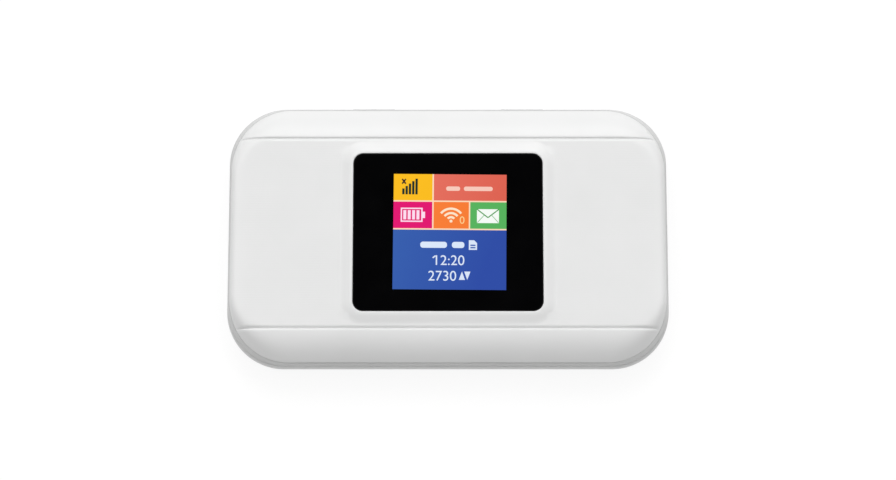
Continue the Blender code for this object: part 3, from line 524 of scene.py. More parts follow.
def slot_cutter(name, x, z, half_x, half_z, radius):
    """A round-cornered opening through the control side, flared by a chamfer at the surface."""
    surface = HALF_Y - body_inset(CONTROL_Z)
    levels = ((HALF_Y - CONTROL_WALL - MM, 0.0), (surface - MOUTH_CHAMFER, 0.0),
              (surface + 3 * MOUTH_CHAMFER, 4 * MOUTH_CHAMFER))
    return loft(name, [upright_ring(x, y, z, half_x + grow, half_z + grow, radius + grow, 8)
                       for y, grow in levels])


def apply_modifiers(obj):
    depsgraph = bpy.context.evaluated_depsgraph_get()
    mesh = bpy.data.meshes.new_from_object(obj.evaluated_get(depsgraph))
    obj.modifiers.clear()
    obj.data = mesh
    smooth(mesh)


def carve(target, tools, operation="DIFFERENCE"):
    """Cut the tools from the target, or join them to it, and remove them."""
    for tool in tools:
        modifier = target.modifiers.new(tool.name, "BOOLEAN")
        modifier.operation = operation
        modifier.object = tool
        modifier.solver = "EXACT"
    apply_modifiers(target)
    for tool in tools:
        bpy.data.objects.remove(tool)


def dress(obj, material, body, slot, *nodes):
    """Give a piece its material and body, and hide the CAD nodes it stands for. The slot is not used."""
    obj.data.materials.clear()
    obj.data.materials.append(MATERIALS[material])
    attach(obj, body)
    if nodes:
        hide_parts(*nodes)


# Case outlines


def body_inset(z):
    """How far the case's side stands inside its widest outline at height z."""
    if z <= WIDEST_Z:
        fall = (WIDEST_Z - z) / WIDEST_Z
        return BELLY_INSET * (1.0 - math.sqrt(max(0.0, 1.0 - fall * fall)))
    rise = (z - WIDEST_Z) / (SHELL_EDGE_Z - WIDEST_Z)
    return SHOULDER_INSET * rise * rise


def inset_ring(inset, z, opening=0.0):
    return ring(HALF_X - inset, HALF_Y - inset, CORNER_RADIUS - inset + opening, z)


def body_ring(z, extra=0.0):
    """The case's outline at height z; its corners open out towards the front shell's rim."""
    rise = max(0.0, z - WIDEST_Z) / (SHELL_EDGE_Z - WIDEST_Z)
    return inset_ring(body_inset(z) + extra, z, SHOULDER_OPENING * rise * rise)


# Front shell


def brow_size(drop):
    """Half sizes and corner radius of the front shell that far below the panel, on arrays."""
    share = 1.0 - drop / FULL_DROP
    end = (1.0 - np.clip(share, 0.0, 1.0) ** END_POWER) ** (1.0 / END_POWER)
    slope = np.arccos(math.cos(STRIP_START) - drop / STRIP_RADIUS)
    strip_width = SHELL_HIGH.y - CREASE_Y
    strip = np.minimum(STRIP_RADIUS * (np.sin(slope) - math.sin(STRIP_START)), strip_width)
    radius = PANEL_CORNER_RADIUS + (SHOULDER_RADIUS - PANEL_CORNER_RADIUS) * (end + strip / strip_width) / 2
    return SHELL_HIGH.x - END_LENGTH + END_LENGTH * end, CREASE_Y + strip, radius


def brow_drop(x, y):
    """How far the front shell's surface lies below the panel at each point, by bisection."""
    low = np.zeros_like(x)
    high = np.full_like(x, FULL_DROP)
    for _ in range(BISECTIONS):
        middle = (low + high) / 2
        half_x, half_y, radius = brow_size(middle)
        across = x - half_x + radius
        along = y - half_y + radius
        inner = np.minimum(np.maximum(across, along), 0.0)
        distance = np.hypot(np.maximum(across, 0.0), np.maximum(along, 0.0)) + inner - radius
        low = np.where(distance > 0.0, middle, low)
        high = np.where(distance > 0.0, high, middle)
    return low


def hole_distance(x, y):
    """Distance outside the window's hole, with its rounded corners."""
    across = np.maximum(x - HOLE_HALF[0] + HOLE_RADIUS, 0.0)
    along = np.maximum(y - HOLE_HALF[1] + HOLE_RADIUS, 0.0)
    return np.hypot(across, along) - HOLE_RADIUS


def pad_height(x, y):
    """The rise of the surround towards the window: a slope with a soft foot and shoulder."""
    run = PAD_WIDTH - PAD_FLAT
    climb = np.clip((PAD_WIDTH - hole_distance(x, y)) / run, 0.0, 1.0)
    soft = climb * climb * (3.0 - 2.0 * climb)
    return (HEIGHT - PANEL_Z) * (climb + PAD_SOFTNESS * (soft - climb))


def crease_depth(x, y):
    """A groove along the crease, steep on its outer side, fading out before the case's ends."""
    width = np.where(y < CREASE_Y, CREASE_INNER, CREASE_OUTER)
    across = np.clip(1.0 - np.abs(y - CREASE_Y) / width, 0.0, 1.0) ** CREASE_POWER
    fade = np.clip((CREASE_FADE[1] - x) / (CREASE_FADE[1] - CREASE_FADE[0]), 0.0, 1.0)
    return CREASE_DEPTH * across * fade


def shell_height(x, y):
    return PANEL_Z - brow_drop(x, y) + pad_height(x, y) - crease_depth(x, y)


def end_columns(count):
    """Places across the shell's end, 0 to 1, spaced evenly along its curved profile."""
    angle = np.linspace(0.0, math.pi / 2, 400)
    across = np.sin(angle) ** (2.0 / END_POWER) * END_LENGTH
    down = -np.cos(angle) ** (2.0 / END_POWER) * FULL_DROP
    length = np.concatenate(([0.0], np.cumsum(np.hypot(np.diff(across), np.diff(down)))))
    return np.interp(np.linspace(0.0, length[-1], count), length, across) / END_LENGTH


def quarter_rows():
    """Places of the mesh's rows on one quarter, closer where it bends: (beside the hole, beyond it)."""
    outer_radius = HOLE_RADIUS + HOLE_ROUNDING
    corner_y = HOLE_HALF[1] - HOLE_RADIUS
    straight = np.linspace(0.0, corner_y, 40)
    round_part = corner_y + outer_radius * np.sin(np.linspace(0.0, math.pi / 2, 15)[1:])
    beside = np.concatenate((straight, round_part))
    near_crease = CREASE_Y - CREASE_INNER
    past_crease = CREASE_Y + CREASE_OUTER
    slope = np.linspace(beside[-1], near_crease, 14)
    groove = np.concatenate((np.linspace(near_crease, CREASE_Y, 9)[1:],
                             np.linspace(CREASE_Y, past_crease, 6)[1:]))
    rim_y = SHELL_HIGH.y - SHOULDER_RADIUS
    start = math.asin((past_crease - rim_y) / SHOULDER_RADIUS)
    strip = rim_y + SHOULDER_RADIUS * np.sin(np.linspace(start, math.pi / 2, 30)[1:])
    return beside, np.concatenate((slope, groove, strip))


def outline_x(y, half_x, half_y, radius):
    """The x of a rounded rectangle's right edge at each y."""
    over = np.clip((y - half_y + radius) / radius, 0.0, 1.0)
    return half_x - radius + radius * np.sqrt(1.0 - over * over)


def shell_grids():
    """The outer surface of one quarter as two grids of points: beside the hole, and above it."""
    beside, beyond = quarter_rows()
    outer_radius = HOLE_RADIUS + HOLE_ROUNDING
    hole = [size + HOLE_ROUNDING for size in HOLE_HALF]
    rows = np.concatenate((beside, beyond[1:]))
    inner_x = outline_x(np.minimum(rows, hole[1]), *hole, outer_radius)
    outer_x = outline_x(rows, SHELL_HIGH.x, SHELL_HIGH.y, SHOULDER_RADIUS)
    end_x = outer_x - END_LENGTH
    pad = np.linspace(0.0, PAD_WIDTH + 0.3 * MM, 16)
    flat = np.linspace(0.0, 1.0, 15)[1:]
    end = end_columns(34)[1:]
    side = []
    for y, x0, x1, x2 in zip(rows, inner_x, end_x, outer_x):
        across = np.concatenate((x0 + pad, x0 + pad[-1] + flat * (x1 - x0 - pad[-1]), x1 + end * (x2 - x1)))
        side.append(np.column_stack((across, np.full_like(across, y), np.zeros_like(across))))
    side = np.array(side)
    across = np.linspace(0.0, inner_x[-1], 30)
    above = np.array([[(x, y, 0.0) for x in across] for y in beyond])
    for grid in (side, above):
        grid[..., 2] = shell_height(grid[..., 0], grid[..., 1])
    side[:, -1, 2] = SHELL_EDGE_Z
    side[-1, :, 2] = SHELL_EDGE_Z
    above[-1, :, 2] = SHELL_EDGE_Z
    return side, above, len(beside)


def inner_copy(grid):
    """The inside of the shell: the outside without pad or crease, drawn in towards the rim's plane."""
    copy = grid.copy()
    plain = PANEL_Z - brow_drop(grid[..., 0], grid[..., 1])
    copy[..., 0] *= 1.0 - SHELL_WALL / SHELL_HIGH.x
    copy[..., 1] *= 1.0 - SHELL_WALL / SHELL_HIGH.y
    copy[..., 2] = SHELL_EDGE_Z + (plain - SHELL_EDGE_Z) * (1.0 - SHELL_WALL / FULL_DROP)
    return copy


def add_grid(bm, grid, side_x, side_y):
    """Add one mirrored copy of a quarter's grid."""
    rows = [[bm.verts.new((side_x * x, side_y * y, z)) for x, y, z in row] for row in grid]
    for low, high in zip(rows, rows[1:]):
        for i in range(len(low) - 1):
            bm.faces.new((low[i], low[i + 1], high[i + 1], high[i]))


def hole_strip(edge, inner_edge):
    """Points down the window's wall, round the ledge and back to the shell's inside, on one quarter."""
    corner = np.array([size - HOLE_RADIUS for size in HOLE_HALF])
    offset = np.maximum(edge[:, :2] - corner, 0.0)
    outward = offset / np.linalg.norm(offset, axis=1)[:, None]
    rows = [edge]
    for step in range(1, 5):
        angle = math.pi / 2 * step / 4
        row = edge.copy()
        row[:, :2] -= outward * HOLE_ROUNDING * math.sin(angle)
        row[:, 2] -= HOLE_ROUNDING * (1.0 - math.cos(angle))
        rows.append(row)
    wall = rows[-1].copy()
    wall[:, 2] = LEDGE_Z
    ledge = wall.copy()
    ledge[:, :2] *= np.divide(LEDGE_HALF, HOLE_HALF)
    under = ledge.copy()
    under[:, 2] = LEDGE_BOTTOM_Z
    rows += [wall, ledge, under, inner_edge]
    return np.array(rows)


def rim_strip(edge, inner_edge):
    """The shell's flat lower rim, with a narrow strip along its outer edge."""
    toward = inner_edge - edge
    length = np.linalg.norm(toward[:, :2], axis=1)[:, None]
    return np.array([edge, edge + toward / length * RIM_STEP, inner_edge])


def make_front_shell():
    side, above, hole_rows = shell_grids()
    inner_side = inner_copy(side)
    inner_above = inner_copy(above)

    def hole_edge(side_grid, above_grid):
        return np.concatenate((side_grid[:hole_rows, 0], above_grid[0, ::-1][1:]))

    def rim_edge(side_grid, above_grid):
        return np.concatenate((side_grid[:, -1], side_grid[-1, ::-1][1:], above_grid[-1, ::-1][1:]))

    strips = [
        hole_strip(hole_edge(side, above), hole_edge(inner_side, inner_above)),
        rim_strip(rim_edge(side, above), rim_edge(inner_side, inner_above)),
    ]
    bm = bmesh.new()
    for side_x, side_y in ((-1, -1), (-1, 1), (1, -1), (1, 1)):
        for grid in (side, above, inner_side, inner_above, *strips):
            add_grid(bm, grid, side_x, side_y)
    bmesh.ops.remove_doubles(bm, verts=bm.verts, dist=1e-7)
    shell = to_object("front_shell_skin", bm, 40.0)
    dress(shell, "shell", "main_unit", "white_plastic", "front_shell")


def make_screw_bosses():
    """The four hollow posts inside the front shell that the case screws bite into."""
    profile = [(BOSS_RADIUS, BOSS_TOP_Z), (BOSS_RADIUS, SHELL_EDGE_Z + BOSS_EDGE),
               (BOSS_RADIUS - BOSS_EDGE, SHELL_EDGE_Z), (BOSS_BORE, SHELL_EDGE_Z), (BOSS_BORE, BOSS_TOP_Z)]
    for index, spot in enumerate(SCREW_SPOTS, 1):
        boss = turned(f"screw_boss_{index}", profile, spot, joined=True)
        dress(boss, "white_plastic", "main_unit", "white_plastic")


# Middle frame


def make_mid_frame():
    """The band round the case, the tongue in the front shell, the skirt in the cover, and the deck."""
    skirt_inside = [size - SKIRT_WALL for size in SKIRT]
    skirt_middle = [size - SKIRT_WALL / 2 for size in SKIRT]
    tongue_inside = [size - TONGUE_WALL for size in TONGUE]
    band = np.linspace(BAND_BOTTOM_Z + BAND_EDGE, BAND_TOP_Z - BAND_EDGE, 6)
    rings = [body_ring(BAND_BOTTOM_Z, BAND_EDGE)]
    rings += [body_ring(z) for z in band]
    rings.append(body_ring(BAND_TOP_Z, BAND_EDGE))
    rings += [ring(*TONGUE, BAND_TOP_Z), ring(*TONGUE, TONGUE_TOP_Z), ring(*tongue_inside, TONGUE_TOP_Z),
              ring(*tongue_inside, BAND_TOP_Z), ring(*skirt_inside, BAND_TOP_Z),
              ring(*skirt_inside, SKIRT_BOTTOM_Z), ring(*SKIRT, SKIRT_BOTTOM_Z), ring(*SKIRT, BAND_BOTTOM_Z)]
    body = loft("mid_frame_moulding", rings, joined=True)
    parts = [loft("deck", [ring(*skirt_middle, z) for z in (DECK_BOTTOM_Z, DECK_TOP_Z)]), control_strip()]
    for label, x0, x1, y0, y1 in (("far", *RIB_X, -RIB_Y, RIB_Y),
                                  ("near_a", -RIB_X[1], -RIB_X[0], RIB_GATE, RIB_Y),
                                  ("near_b", -RIB_X[1], -RIB_X[0], -RIB_Y, -RIB_GATE)):
        high = (x1, y1, DECK_BOTTOM_Z + 0.3 * MM)
        parts.append(block(f"rib_{label}", (x0, y0, RIB_BOTTOM_Z), high, RIB_EDGE))
    post = [(POST_RADIUS, DECK_MIDDLE_Z), (POST_RADIUS, POST_TOP_Z)]
    parts += [turned(f"post_{i}", post, spot) for i, spot in enumerate(SCREW_SPOTS)]
    carve(body, parts, "UNION")
    under = DECK_BOTTOM_Z - MM
    tools = [block("pocket", (-CONTROL_HALF_X + MM, skirt_inside[1] - 0.05 * MM, DECK_TOP_Z),
                   (CONTROL_HALF_X - MM, HALF_Y - CONTROL_WALL, TONGUE_TOP_Z + MM)),
             turned("pinhole", [(PINHOLE_RADIUS, under), (PINHOLE_RADIUS, DECK_TOP_Z + MM)], RESET_SPOT)]
    hole = [(SCREW_HOLE_RADIUS, under), (SCREW_HOLE_RADIUS, POST_TOP_Z + MM)]
    tools += [turned(f"hole_{i}", hole, spot) for i, spot in enumerate(SCREW_SPOTS)]
    tools += [block(f"window_{label}", (x0, y0, DECK_BOTTOM_Z - 0.2 * MM), (x1, y1, DECK_TOP_Z + 0.5 * MM))
              for label, (x0, x1, y0, y1) in DECK_WINDOWS.items()]
    carve(body, tools + control_openings())
    dress(body, "white_plastic", "main_unit", "white_plastic", "mid_frame")


def control_strip():
    """The stretch of the case's side that carries the keys and the socket."""
    inner = SKIRT[1] - SKIRT_WALL / 2
    rows = []
    for z in np.linspace(CONTROL_BOTTOM_Z, BAND_TOP_Z - 0.02 * MM, 18):
        outer = HALF_Y - body_inset(z)
        rows.append([(-CONTROL_HALF_X, inner, z), (CONTROL_HALF_X, inner, z),
                     (CONTROL_HALF_X, outer, z), (-CONTROL_HALF_X, outer, z)])
    return loft("control_strip", rows)


def control_openings():
    """Cutters for the two key slots and the socket's mouth."""
    tools = []
    for node in ("power_button", "menu_button"):
        low, high = key_face(node)
        tools.append(slot_cutter(f"{node}_slot", (low.x + high.x) / 2, CONTROL_Z, KEY_HALF[0] + KEY_GAP,
                                 KEY_HALF[1] + KEY_GAP, KEY_SLOT_RADIUS))
    low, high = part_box("micro_usb_shell")
    tools.append(slot_cutter("socket_mouth", 0.0, (low.z + high.z) / 2, high.x + SOCKET_GAP,
                             (high.z - low.z) / 2 + SOCKET_GAP, SOCKET_RADIUS))
    return tools


# Back cover


def make_back_cover():
    """The cover as a tub: its belly an elliptic curve outside, its wall and floor even inside."""
    steps = 20
    angles = [math.pi / 2 * step / steps for step in range(1, steps)]
    outer = [body_ring(0.0)]
    outer += [body_ring(WIDEST_Z * (1.0 - math.sin(angle))) for angle in reversed(angles)]
    outer += [body_ring(z) for z in np.linspace(WIDEST_Z, PARTING_Z - COVER_EDGE, 5)]
    outer += [body_ring(PARTING_Z - COVER_EDGE / 3, COVER_EDGE / 3), body_ring(PARTING_Z, COVER_EDGE)]
    inner = [body_ring(PARTING_Z, COVER_WALL), body_ring(WIDEST_Z, COVER_WALL)]
    for angle in angles:
        side = WIDEST_Z * math.cos(angle)
        under = BELLY_INSET * math.sin(angle)
        reach = math.hypot(side, under)
        inset = BELLY_INSET * (1.0 - math.cos(angle)) + COVER_WALL * side / reach
        inner.append(inset_ring(inset, WIDEST_Z * (1.0 - math.sin(angle)) + COVER_WALL * under / reach))
    inner.append(inset_ring(BELLY_INSET + 0.2 * MM, COVER_FLOOR))
    cover = loft("back_cover_tub", outer + inner)
    notch = block("notch", (-CONTROL_HALF_X - NOTCH_GAP, SKIRT[1], CONTROL_BOTTOM_Z - NOTCH_GAP),
                  (CONTROL_HALF_X + NOTCH_GAP, HALF_Y + 2 * MM, PARTING_Z + MM))
    nail_spot = (HALF_X + NAIL_RADIUS - NAIL_REACH, 0.0)
    nail = [(NAIL_RADIUS, PARTING_Z - NAIL_DEPTH), (NAIL_RADIUS, PARTING_Z + MM)]
    carve(cover, [notch, turned("nail", nail, nail_spot, 64)])
    dress(cover, "white_plastic", "back_cover", "white_plastic", "back_cover")


def make_cover_clips():
    """Small wedge clips inside the cover's rim, leaning in towards the middle frame."""
    spots = [(x, side * (HALF_Y - COVER_WALL), 0.0, -side) for x in CLIP_X for side in (-1, 1)
             if side < 0 or abs(x) > CONTROL_HALF_X + CLIP_HALF]
    spots += [(side * (HALF_X - COVER_WALL), y, -side, 0.0) for y in CLIP_Y for side in (-1, 1)]
    foot_z, nose_low_z, nose_high_z, lean_z, top_z = CLIP_Z
    nose = CLIP_ROOT + CLIP_REACH
    section = [(0.0, foot_z), (0.0, top_z), (CLIP_ROOT + 0.6 * CLIP_REACH, lean_z),
               (nose, nose_high_z), (nose, nose_low_z)]
    for index, (x, y, inward_x, inward_y) in enumerate(spots, 1):
        along = Vector((-inward_y, inward_x, 0.0)) * CLIP_HALF
        inward = Vector((inward_x, inward_y, 0.0))
        foot = Vector((x, y, 0.0)) - inward * CLIP_ROOT
        rings = [[tuple(foot + along * end + inward * depth + Vector((0.0, 0.0, z))) for depth, z in section]
                 for end in (-1, 1)]
        clip = loft(f"cover_clip_{index}", rings)
        dress(clip, "white_plastic", "back_cover", "white_plastic")


# Window and picture


def make_lens():
    """The black window, its edge rounded over, close in its hole."""
    half = [size - LENS_CLEARANCE for size in HOLE_HALF]
    radius = HOLE_RADIUS - LENS_CLEARANCE
    rings = [ring(*half, radius, LENS_LOW.z)]
    for step in range(5):
        angle = math.pi / 2 * step / 4
        inset = LENS_EDGE * (1.0 - math.cos(angle))
        rings.append(ring(half[0] - inset, half[1] - inset, radius - inset,
                          LENS_HIGH.z - LENS_EDGE + LENS_EDGE * math.sin(angle)))
    rings.append(shrunk(rings[-1]))
    lens = loft("window_lens", rings)
    dress(lens, "window_black", "main_unit", "window_black", "display_window")


def picture_point(u, v, z):
    """A point of the picture, turned by its slight tilt."""
    spot = Matrix.Rotation(PICTURE_TILT, 2) @ Vector((u, v))
    return ((PICTURE_CENTRE[0] + spot.x) * MM, (PICTURE_CENTRE[1] + spot.y) * MM, z)


def box_outline(x0, x1, y0, y1, radius=0.0, steps=5):
    if not radius:
        return [(x0, y0), (x1, y0), (x1, y1), (x0, y1)]
    centre = Vector(((x0 + x1) / 2, (y0 + y1) / 2))
    points = ring((x1 - x0) / 2, (y1 - y0) / 2, radius, 0.0, steps)
    return [(centre.x + x, centre.y + y) for x, y, _ in points]


def stroke(start, end, width):
    """A straight stroke between two points, as an outline."""
    start = Vector(start)
    end = Vector(end)
    side = (end - start).normalized().orthogonal() * width / 2
    return [start + side, start - side, end - side, end + side]


def arc_band(centre, radius, thickness, half_angle, steps=24):
    """Part of a ring about straight up."""
    angles = [math.pi / 2 + half_angle * (2 * step / steps - 1) for step in range(steps + 1)]
    outer = [(centre[0] + radius * math.cos(a), centre[1] + radius * math.sin(a)) for a in angles]
    inside = radius - thickness
    inner = [(centre[0] + inside * math.cos(a), centre[1] + inside * math.sin(a)) for a in reversed(angles)]
    return outer + inner


def picture_piece(name, outlines, level, colour, colour_right=None):
    """One lit piece of the picture, a thin slab over each outline, at its level above the window."""
    low = PICTURE_Z + level * LEVEL_RISE
    bm = bmesh.new()
    for outline in outlines:
        skin(bm, [[picture_point(u, v, z) for u, v in outline] for z in (low, low + LEVEL_THICKNESS)])
    MATERIALS[name] = lit(f"{name}_light", colour, colour_right)
    dress(to_object(name, bm), name, "main_unit", "display_glass")


def digits(name, text, centre, height, colour):
    """A line of figures as thin raised shapes."""
    curve = bpy.data.curves.new(name, "FONT")
    curve.body = text
    curve.size = 1.0
    curve.extrude = 0.005
    curve.align_x = "CENTER"
    source = bpy.data.objects.new(f"{name}_source", curve)
    bpy.context.scene.collection.objects.link(source)
    depsgraph = bpy.context.evaluated_depsgraph_get()
    mesh = bpy.data.meshes.new_from_object(source.evaluated_get(depsgraph))
    bpy.data.objects.remove(source)
    corners = np.array([vertex.co for vertex in mesh.vertices])
    low = corners.min(0)
    high = corners.max(0)
    scale = height / (high[1] - low[1])
    middle = (low + high) / 2
    bottom = PICTURE_Z + 3 * LEVEL_RISE
    for vertex in mesh.vertices:
        u, v = ((vertex.co[axis] - middle[axis]) * scale + centre[axis] for axis in (0, 1))
        vertex.co = picture_point(u, v, bottom + (LEVEL_THICKNESS if vertex.co.z > 0 else 0.0))
    bm = bmesh.new()
    bm.from_mesh(mesh)
    bmesh.ops.remove_doubles(bm, verts=bm.verts, dist=1e-7)
    MATERIALS[name] = lit(f"{name}_light", colour)
    dress(to_object(name, bm), name, "main_unit", "display_glass")


def make_tiles():
    """The picture's coloured tiles and the pale rules between them."""
    half_x, half_y = PICTURE_HALF
    row_1, row_2 = ROW_LINES
    column_1, column_2 = COLUMN_LINES
    for label, box, *colours in (
            ("signal", (-half_x, column_1, row_1, half_y), (252, 190, 35)),
            ("title", (column_1, half_x, row_1, half_y), (232, 116, 100), (221, 98, 81)),
            ("battery", (-half_x, column_1, row_2, row_1), (227, 28, 114)),
            ("wireless", (column_1, column_2, row_2, row_1), (250, 128, 58)),
            ("messages", (column_2, half_x, row_2, row_1), (92, 182, 98)),
            ("status", (-half_x, half_x, -half_y, row_2), (58, 98, 176), (49, 78, 166))):
        picture_piece(f"tile_{label}", [box_outline(*box)], 0, *colours)
    half = RULE_WIDTH / 2
    rules = [box_outline(-half_x, half_x, line - half, line + half) for line in ROW_LINES]
    rules.append(box_outline(column_1 - half, column_1 + half, row_1 + half, half_y))
    rules += [box_outline(line - half, line + half, row_2 + half, row_1 - half) for line in COLUMN_LINES]
    picture_piece("tile_rules", rules, 1, (255, 222, 190))


def make_signal_symbol():
    """Five bars of growing height, and a small cross in two strokes."""
    bars = []
    for index in range(5):
        left = -10.8 + index * 0.74
        bars.append(box_outline(left, left + 0.53, 8.5, 8.5 + 1.35 + 0.57 * index))
    centre = Vector((-10.42, 11.49))
    rising = Vector((0.42, 0.55))
    falling = Vector((0.42, -0.55))
    line = 0.34
    bars.append(stroke(centre - rising, centre + rising, line))
    picture_piece("symbol_signal", bars, 1, (38, 52, 46))
    picture_piece("symbol_no_signal", [stroke(centre - falling, centre + falling, line)], 2, (60, 36, 40))


def make_battery_symbol():
    """A battery's outline with its tip, and four cells in it."""
    x0, x1, y0, y1 = -11.07, -6.15, 2.18, 5.43
    line = 0.3
    outline = [box_outline(x0, x1, y1 - line, y1), box_outline(x0, x1, y0, y0 + line),
               box_outline(x0, x0 + line, y0 + line, y1 - line),
               box_outline(x1 - line, x1, y0 + line, y1 - line),
               box_outline(x1, x1 + 0.55, y0 + 0.9, y1 - 0.9)]
    lefts = [-10.48 + index * 0.985 for index in range(4)]
    cells = [box_outline(left, left + 0.66, y0 + 0.56, y1 - 0.56) for left in lefts]
    picture_piece("symbol_battery", outline + cells, 1, (255, 222, 241))


def make_wireless_symbol():
    """Three arcs over a dot."""
    centre = (0.25, 2.43)
    waves = [arc_band(centre, radius, 0.5, math.radians(52)) for radius in (3.11, 2.09, 1.15)]
    dot = [(u, v) for u, v, _ in circle(centre, 0.34, 0.0, 16)]
    picture_piece("symbol_wireless", waves + [dot], 1, (255, 232, 205))


def make_message_symbol():
    """An envelope, its flap's two edges and its two lower folds."""
    x0, x1, y0, y1 = 6.08, 11.03, 2.04, 5.23
    picture_piece("symbol_message", [box_outline(x0, x1, y0, y1, 0.15)], 1, (250, 255, 250))
    middle = (x0 + x1) / 2
    flap = [stroke((x, y1), (middle, y0 + 1.25), 0.27) for x in (x0, x1)]
    picture_piece("symbol_message_flap", flap, 2, (92, 165, 96))
    folds = [stroke((x + 0.1 * side, y0 + 0.1), (middle - 0.9 * side, y0 + 1.75), 0.16)
             for x, side in ((x0, 1), (x1, -1))]
    picture_piece("symbol_message_fold", folds, 3, (130, 192, 134))


def make_lines():
    """Title and status lines: rounded placeholder bars, a card symbol, figures and two arrows."""
    y = TITLE_Y
    title = [box_outline(x0, x1, y - 0.5, y + 0.5, 0.45) for x0, x1 in ((-0.9, 2.25), (3.1, 9.6))]
    picture_piece("title_bars", title, 1, (250, 205, 190))
    y = STATUS_Y
    status = [box_outline(x0, x1, y - 0.7, y + 0.7, 0.6) for x0, x1 in ((-6.6, -0.6), (0.5, 3.3))]
    status.append([(4.3, y - 1.1), (6.15, y - 1.1), (6.15, y + 0.45), (5.5, y + 1.1), (4.3, y + 1.1)])
    picture_piece("status_bars", status, 1, BAR_BLUE)
    contacts = [box_outline(4.65, 5.8, y + v, y + v + 0.3) for v in (-0.75, -0.2)]
    picture_piece("status_card_contacts", contacts, 2, (60, 96, 176))
    digits("status_clock", "12:20", (0.12, CLOCK_Y), FIGURE_HEIGHT, FIGURE_BLUE)
    flag = stroke((-3.15, CLOCK_Y + 1.0), (-3.78, CLOCK_Y + 0.52), 0.3)
    picture_piece("status_clock_flag", [flag], 2, FIGURE_BLUE)
    digits("status_counter", "2730", (-1.6, COUNTER_Y), FIGURE_HEIGHT, FIGURE_BLUE)
    low = COUNTER_Y - 0.9
    high = COUNTER_Y + 1.0
    arrows = [[(2.1, low), (3.5, low), (2.8, high)], [(3.3, high), (4.0, low), (4.7, high)]]
    picture_piece("status_arrows", arrows, 1, BAR_BLUE)
    digits("wireless_count", "0", (2.75, 2.68), 1.7, (255, 214, 150))


# Keys and socket


def key_face(node):
    """The visible face of a key: the CAD piece's box without the lip behind the wall."""
    low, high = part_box(node)
    middle = (low.x + high.x) / 2
    return (Vector((middle - KEY_HALF[0], low.y, CONTROL_Z - KEY_HALF[1])),
            Vector((middle + KEY_HALF[0], high.y, CONTROL_Z + KEY_HALF[1])))


def make_key(label):
    """A key cap with a lip behind the wall.  It gives the middle of the key's face, as (x, y)."""
    node = f"{label}_button"
    low, high = key_face(node)
    x = (low.x + high.x) / 2
    front = high.y - KEY_SET_BACK
    lip_front = HALF_Y - CONTROL_WALL - LIP_GAP
    lip = (KEY_HALF[0] + LIP_REACH[0], KEY_HALF[1] + LIP_REACH[1], LIP_RADIUS)
    levels = [(low.y, *lip), (lip_front, *lip), (lip_front, *KEY_HALF, KEY_RADIUS)]
    for step in range(6):
        angle = math.pi / 2 * step / 5
        inset = KEY_ROUNDING * (1.0 - math.cos(angle))
        levels.append((front - KEY_ROUNDING * (1.0 - math.sin(angle)), KEY_HALF[0] - inset,
                       KEY_HALF[1] - inset, KEY_RADIUS - inset))
    rings = [upright_ring(x, y, CONTROL_Z, *sizes, 10) for y, *sizes in levels]
    rings.append(shrunk(rings[-1], 0.95))
    key = loft(f"{label}_key_cap", rings)
    follow_side(key, lip_front + 0.1 * MM)
    dress(key, "key_plastic", f"{label}_key", "white_plastic", node)
    return x, front


def follow_side(obj, front_y, slices=9):
    """Bend what stands in front of front_y to the curve of the case's side."""
    bm = bmesh.new()
    bm.from_mesh(obj.data)
    heights = [vertex.co.z for vertex in bm.verts]
    for z in np.linspace(min(heights), max(heights), slices + 2)[1:-1]:
        bmesh.ops.bisect_plane(bm, geom=bm.verts[:] + bm.edges[:] + bm.faces[:],
                               plane_co=(0.0, 0.0, z), plane_no=(0.0, 0.0, 1.0))
    for vertex in bm.verts:
        if vertex.co.y > front_y:
            vertex.co.y -= max(0.0, body_inset(vertex.co.z) - body_inset(CONTROL_Z))
    bm.to_mesh(obj.data)
    bm.free()
    smooth(obj.data)


def make_power_symbol(x, y):
    """A raised ring, open at its top, and a short bar on the power key."""
    z = CONTROL_Z - 0.05 * MM
    line = 0.16 * MM
    opening = math.radians(32)
    arc = arc_band((x, z), 0.62 * MM, line, math.pi - opening, 32)
    mark = [(u, 2 * z - v) for u, v in arc]
    bar = box_outline(x - line / 2, x + line / 2, z + 0.1 * MM, z + 0.75 * MM)
    bm = bmesh.new()
    for outline in (mark, bar):
        skin(bm, [[(u, place, v) for u, v in outline] for place in (y - 0.1 * MM, y + 0.02 * MM)])
    symbol = to_object("power_key_symbol", bm)
    follow_side(symbol, 0.0, 3)
    dress(symbol, "symbol_grey", "power_key", "white_plastic")


def make_socket():
    """The charging socket's shell: a folded sheet, wide above and chamfered below, open at the front."""
    low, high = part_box("micro_usb_shell")
    wall = 0.3 * MM
    cut = 0.85 * MM

    def profile(inset, y):
        x = high.x - inset
        top = high.z - inset
        bottom = low.z + inset
        half = [(x, top), (x, bottom + cut), (x - cut, bottom)]
        return [(u, y, v) for u, v in half + [(-u, v) for u, v in reversed(half)]]

    rings = [profile(0.0, low.y), profile(0.0, high.y), profile(wall, high.y), profile(wall, low.y + wall)]
    shell = loft("charging_socket_shell", rings)
    bevel = shell.modifiers.new("edges", "BEVEL")
    bevel.width = 0.1 * MM
    bevel.segments = 2
    bevel.limit_method = "ANGLE"
    apply_modifiers(shell)
    dress(shell, "steel", "main_unit", "steel", "micro_usb_shell")


# Battery


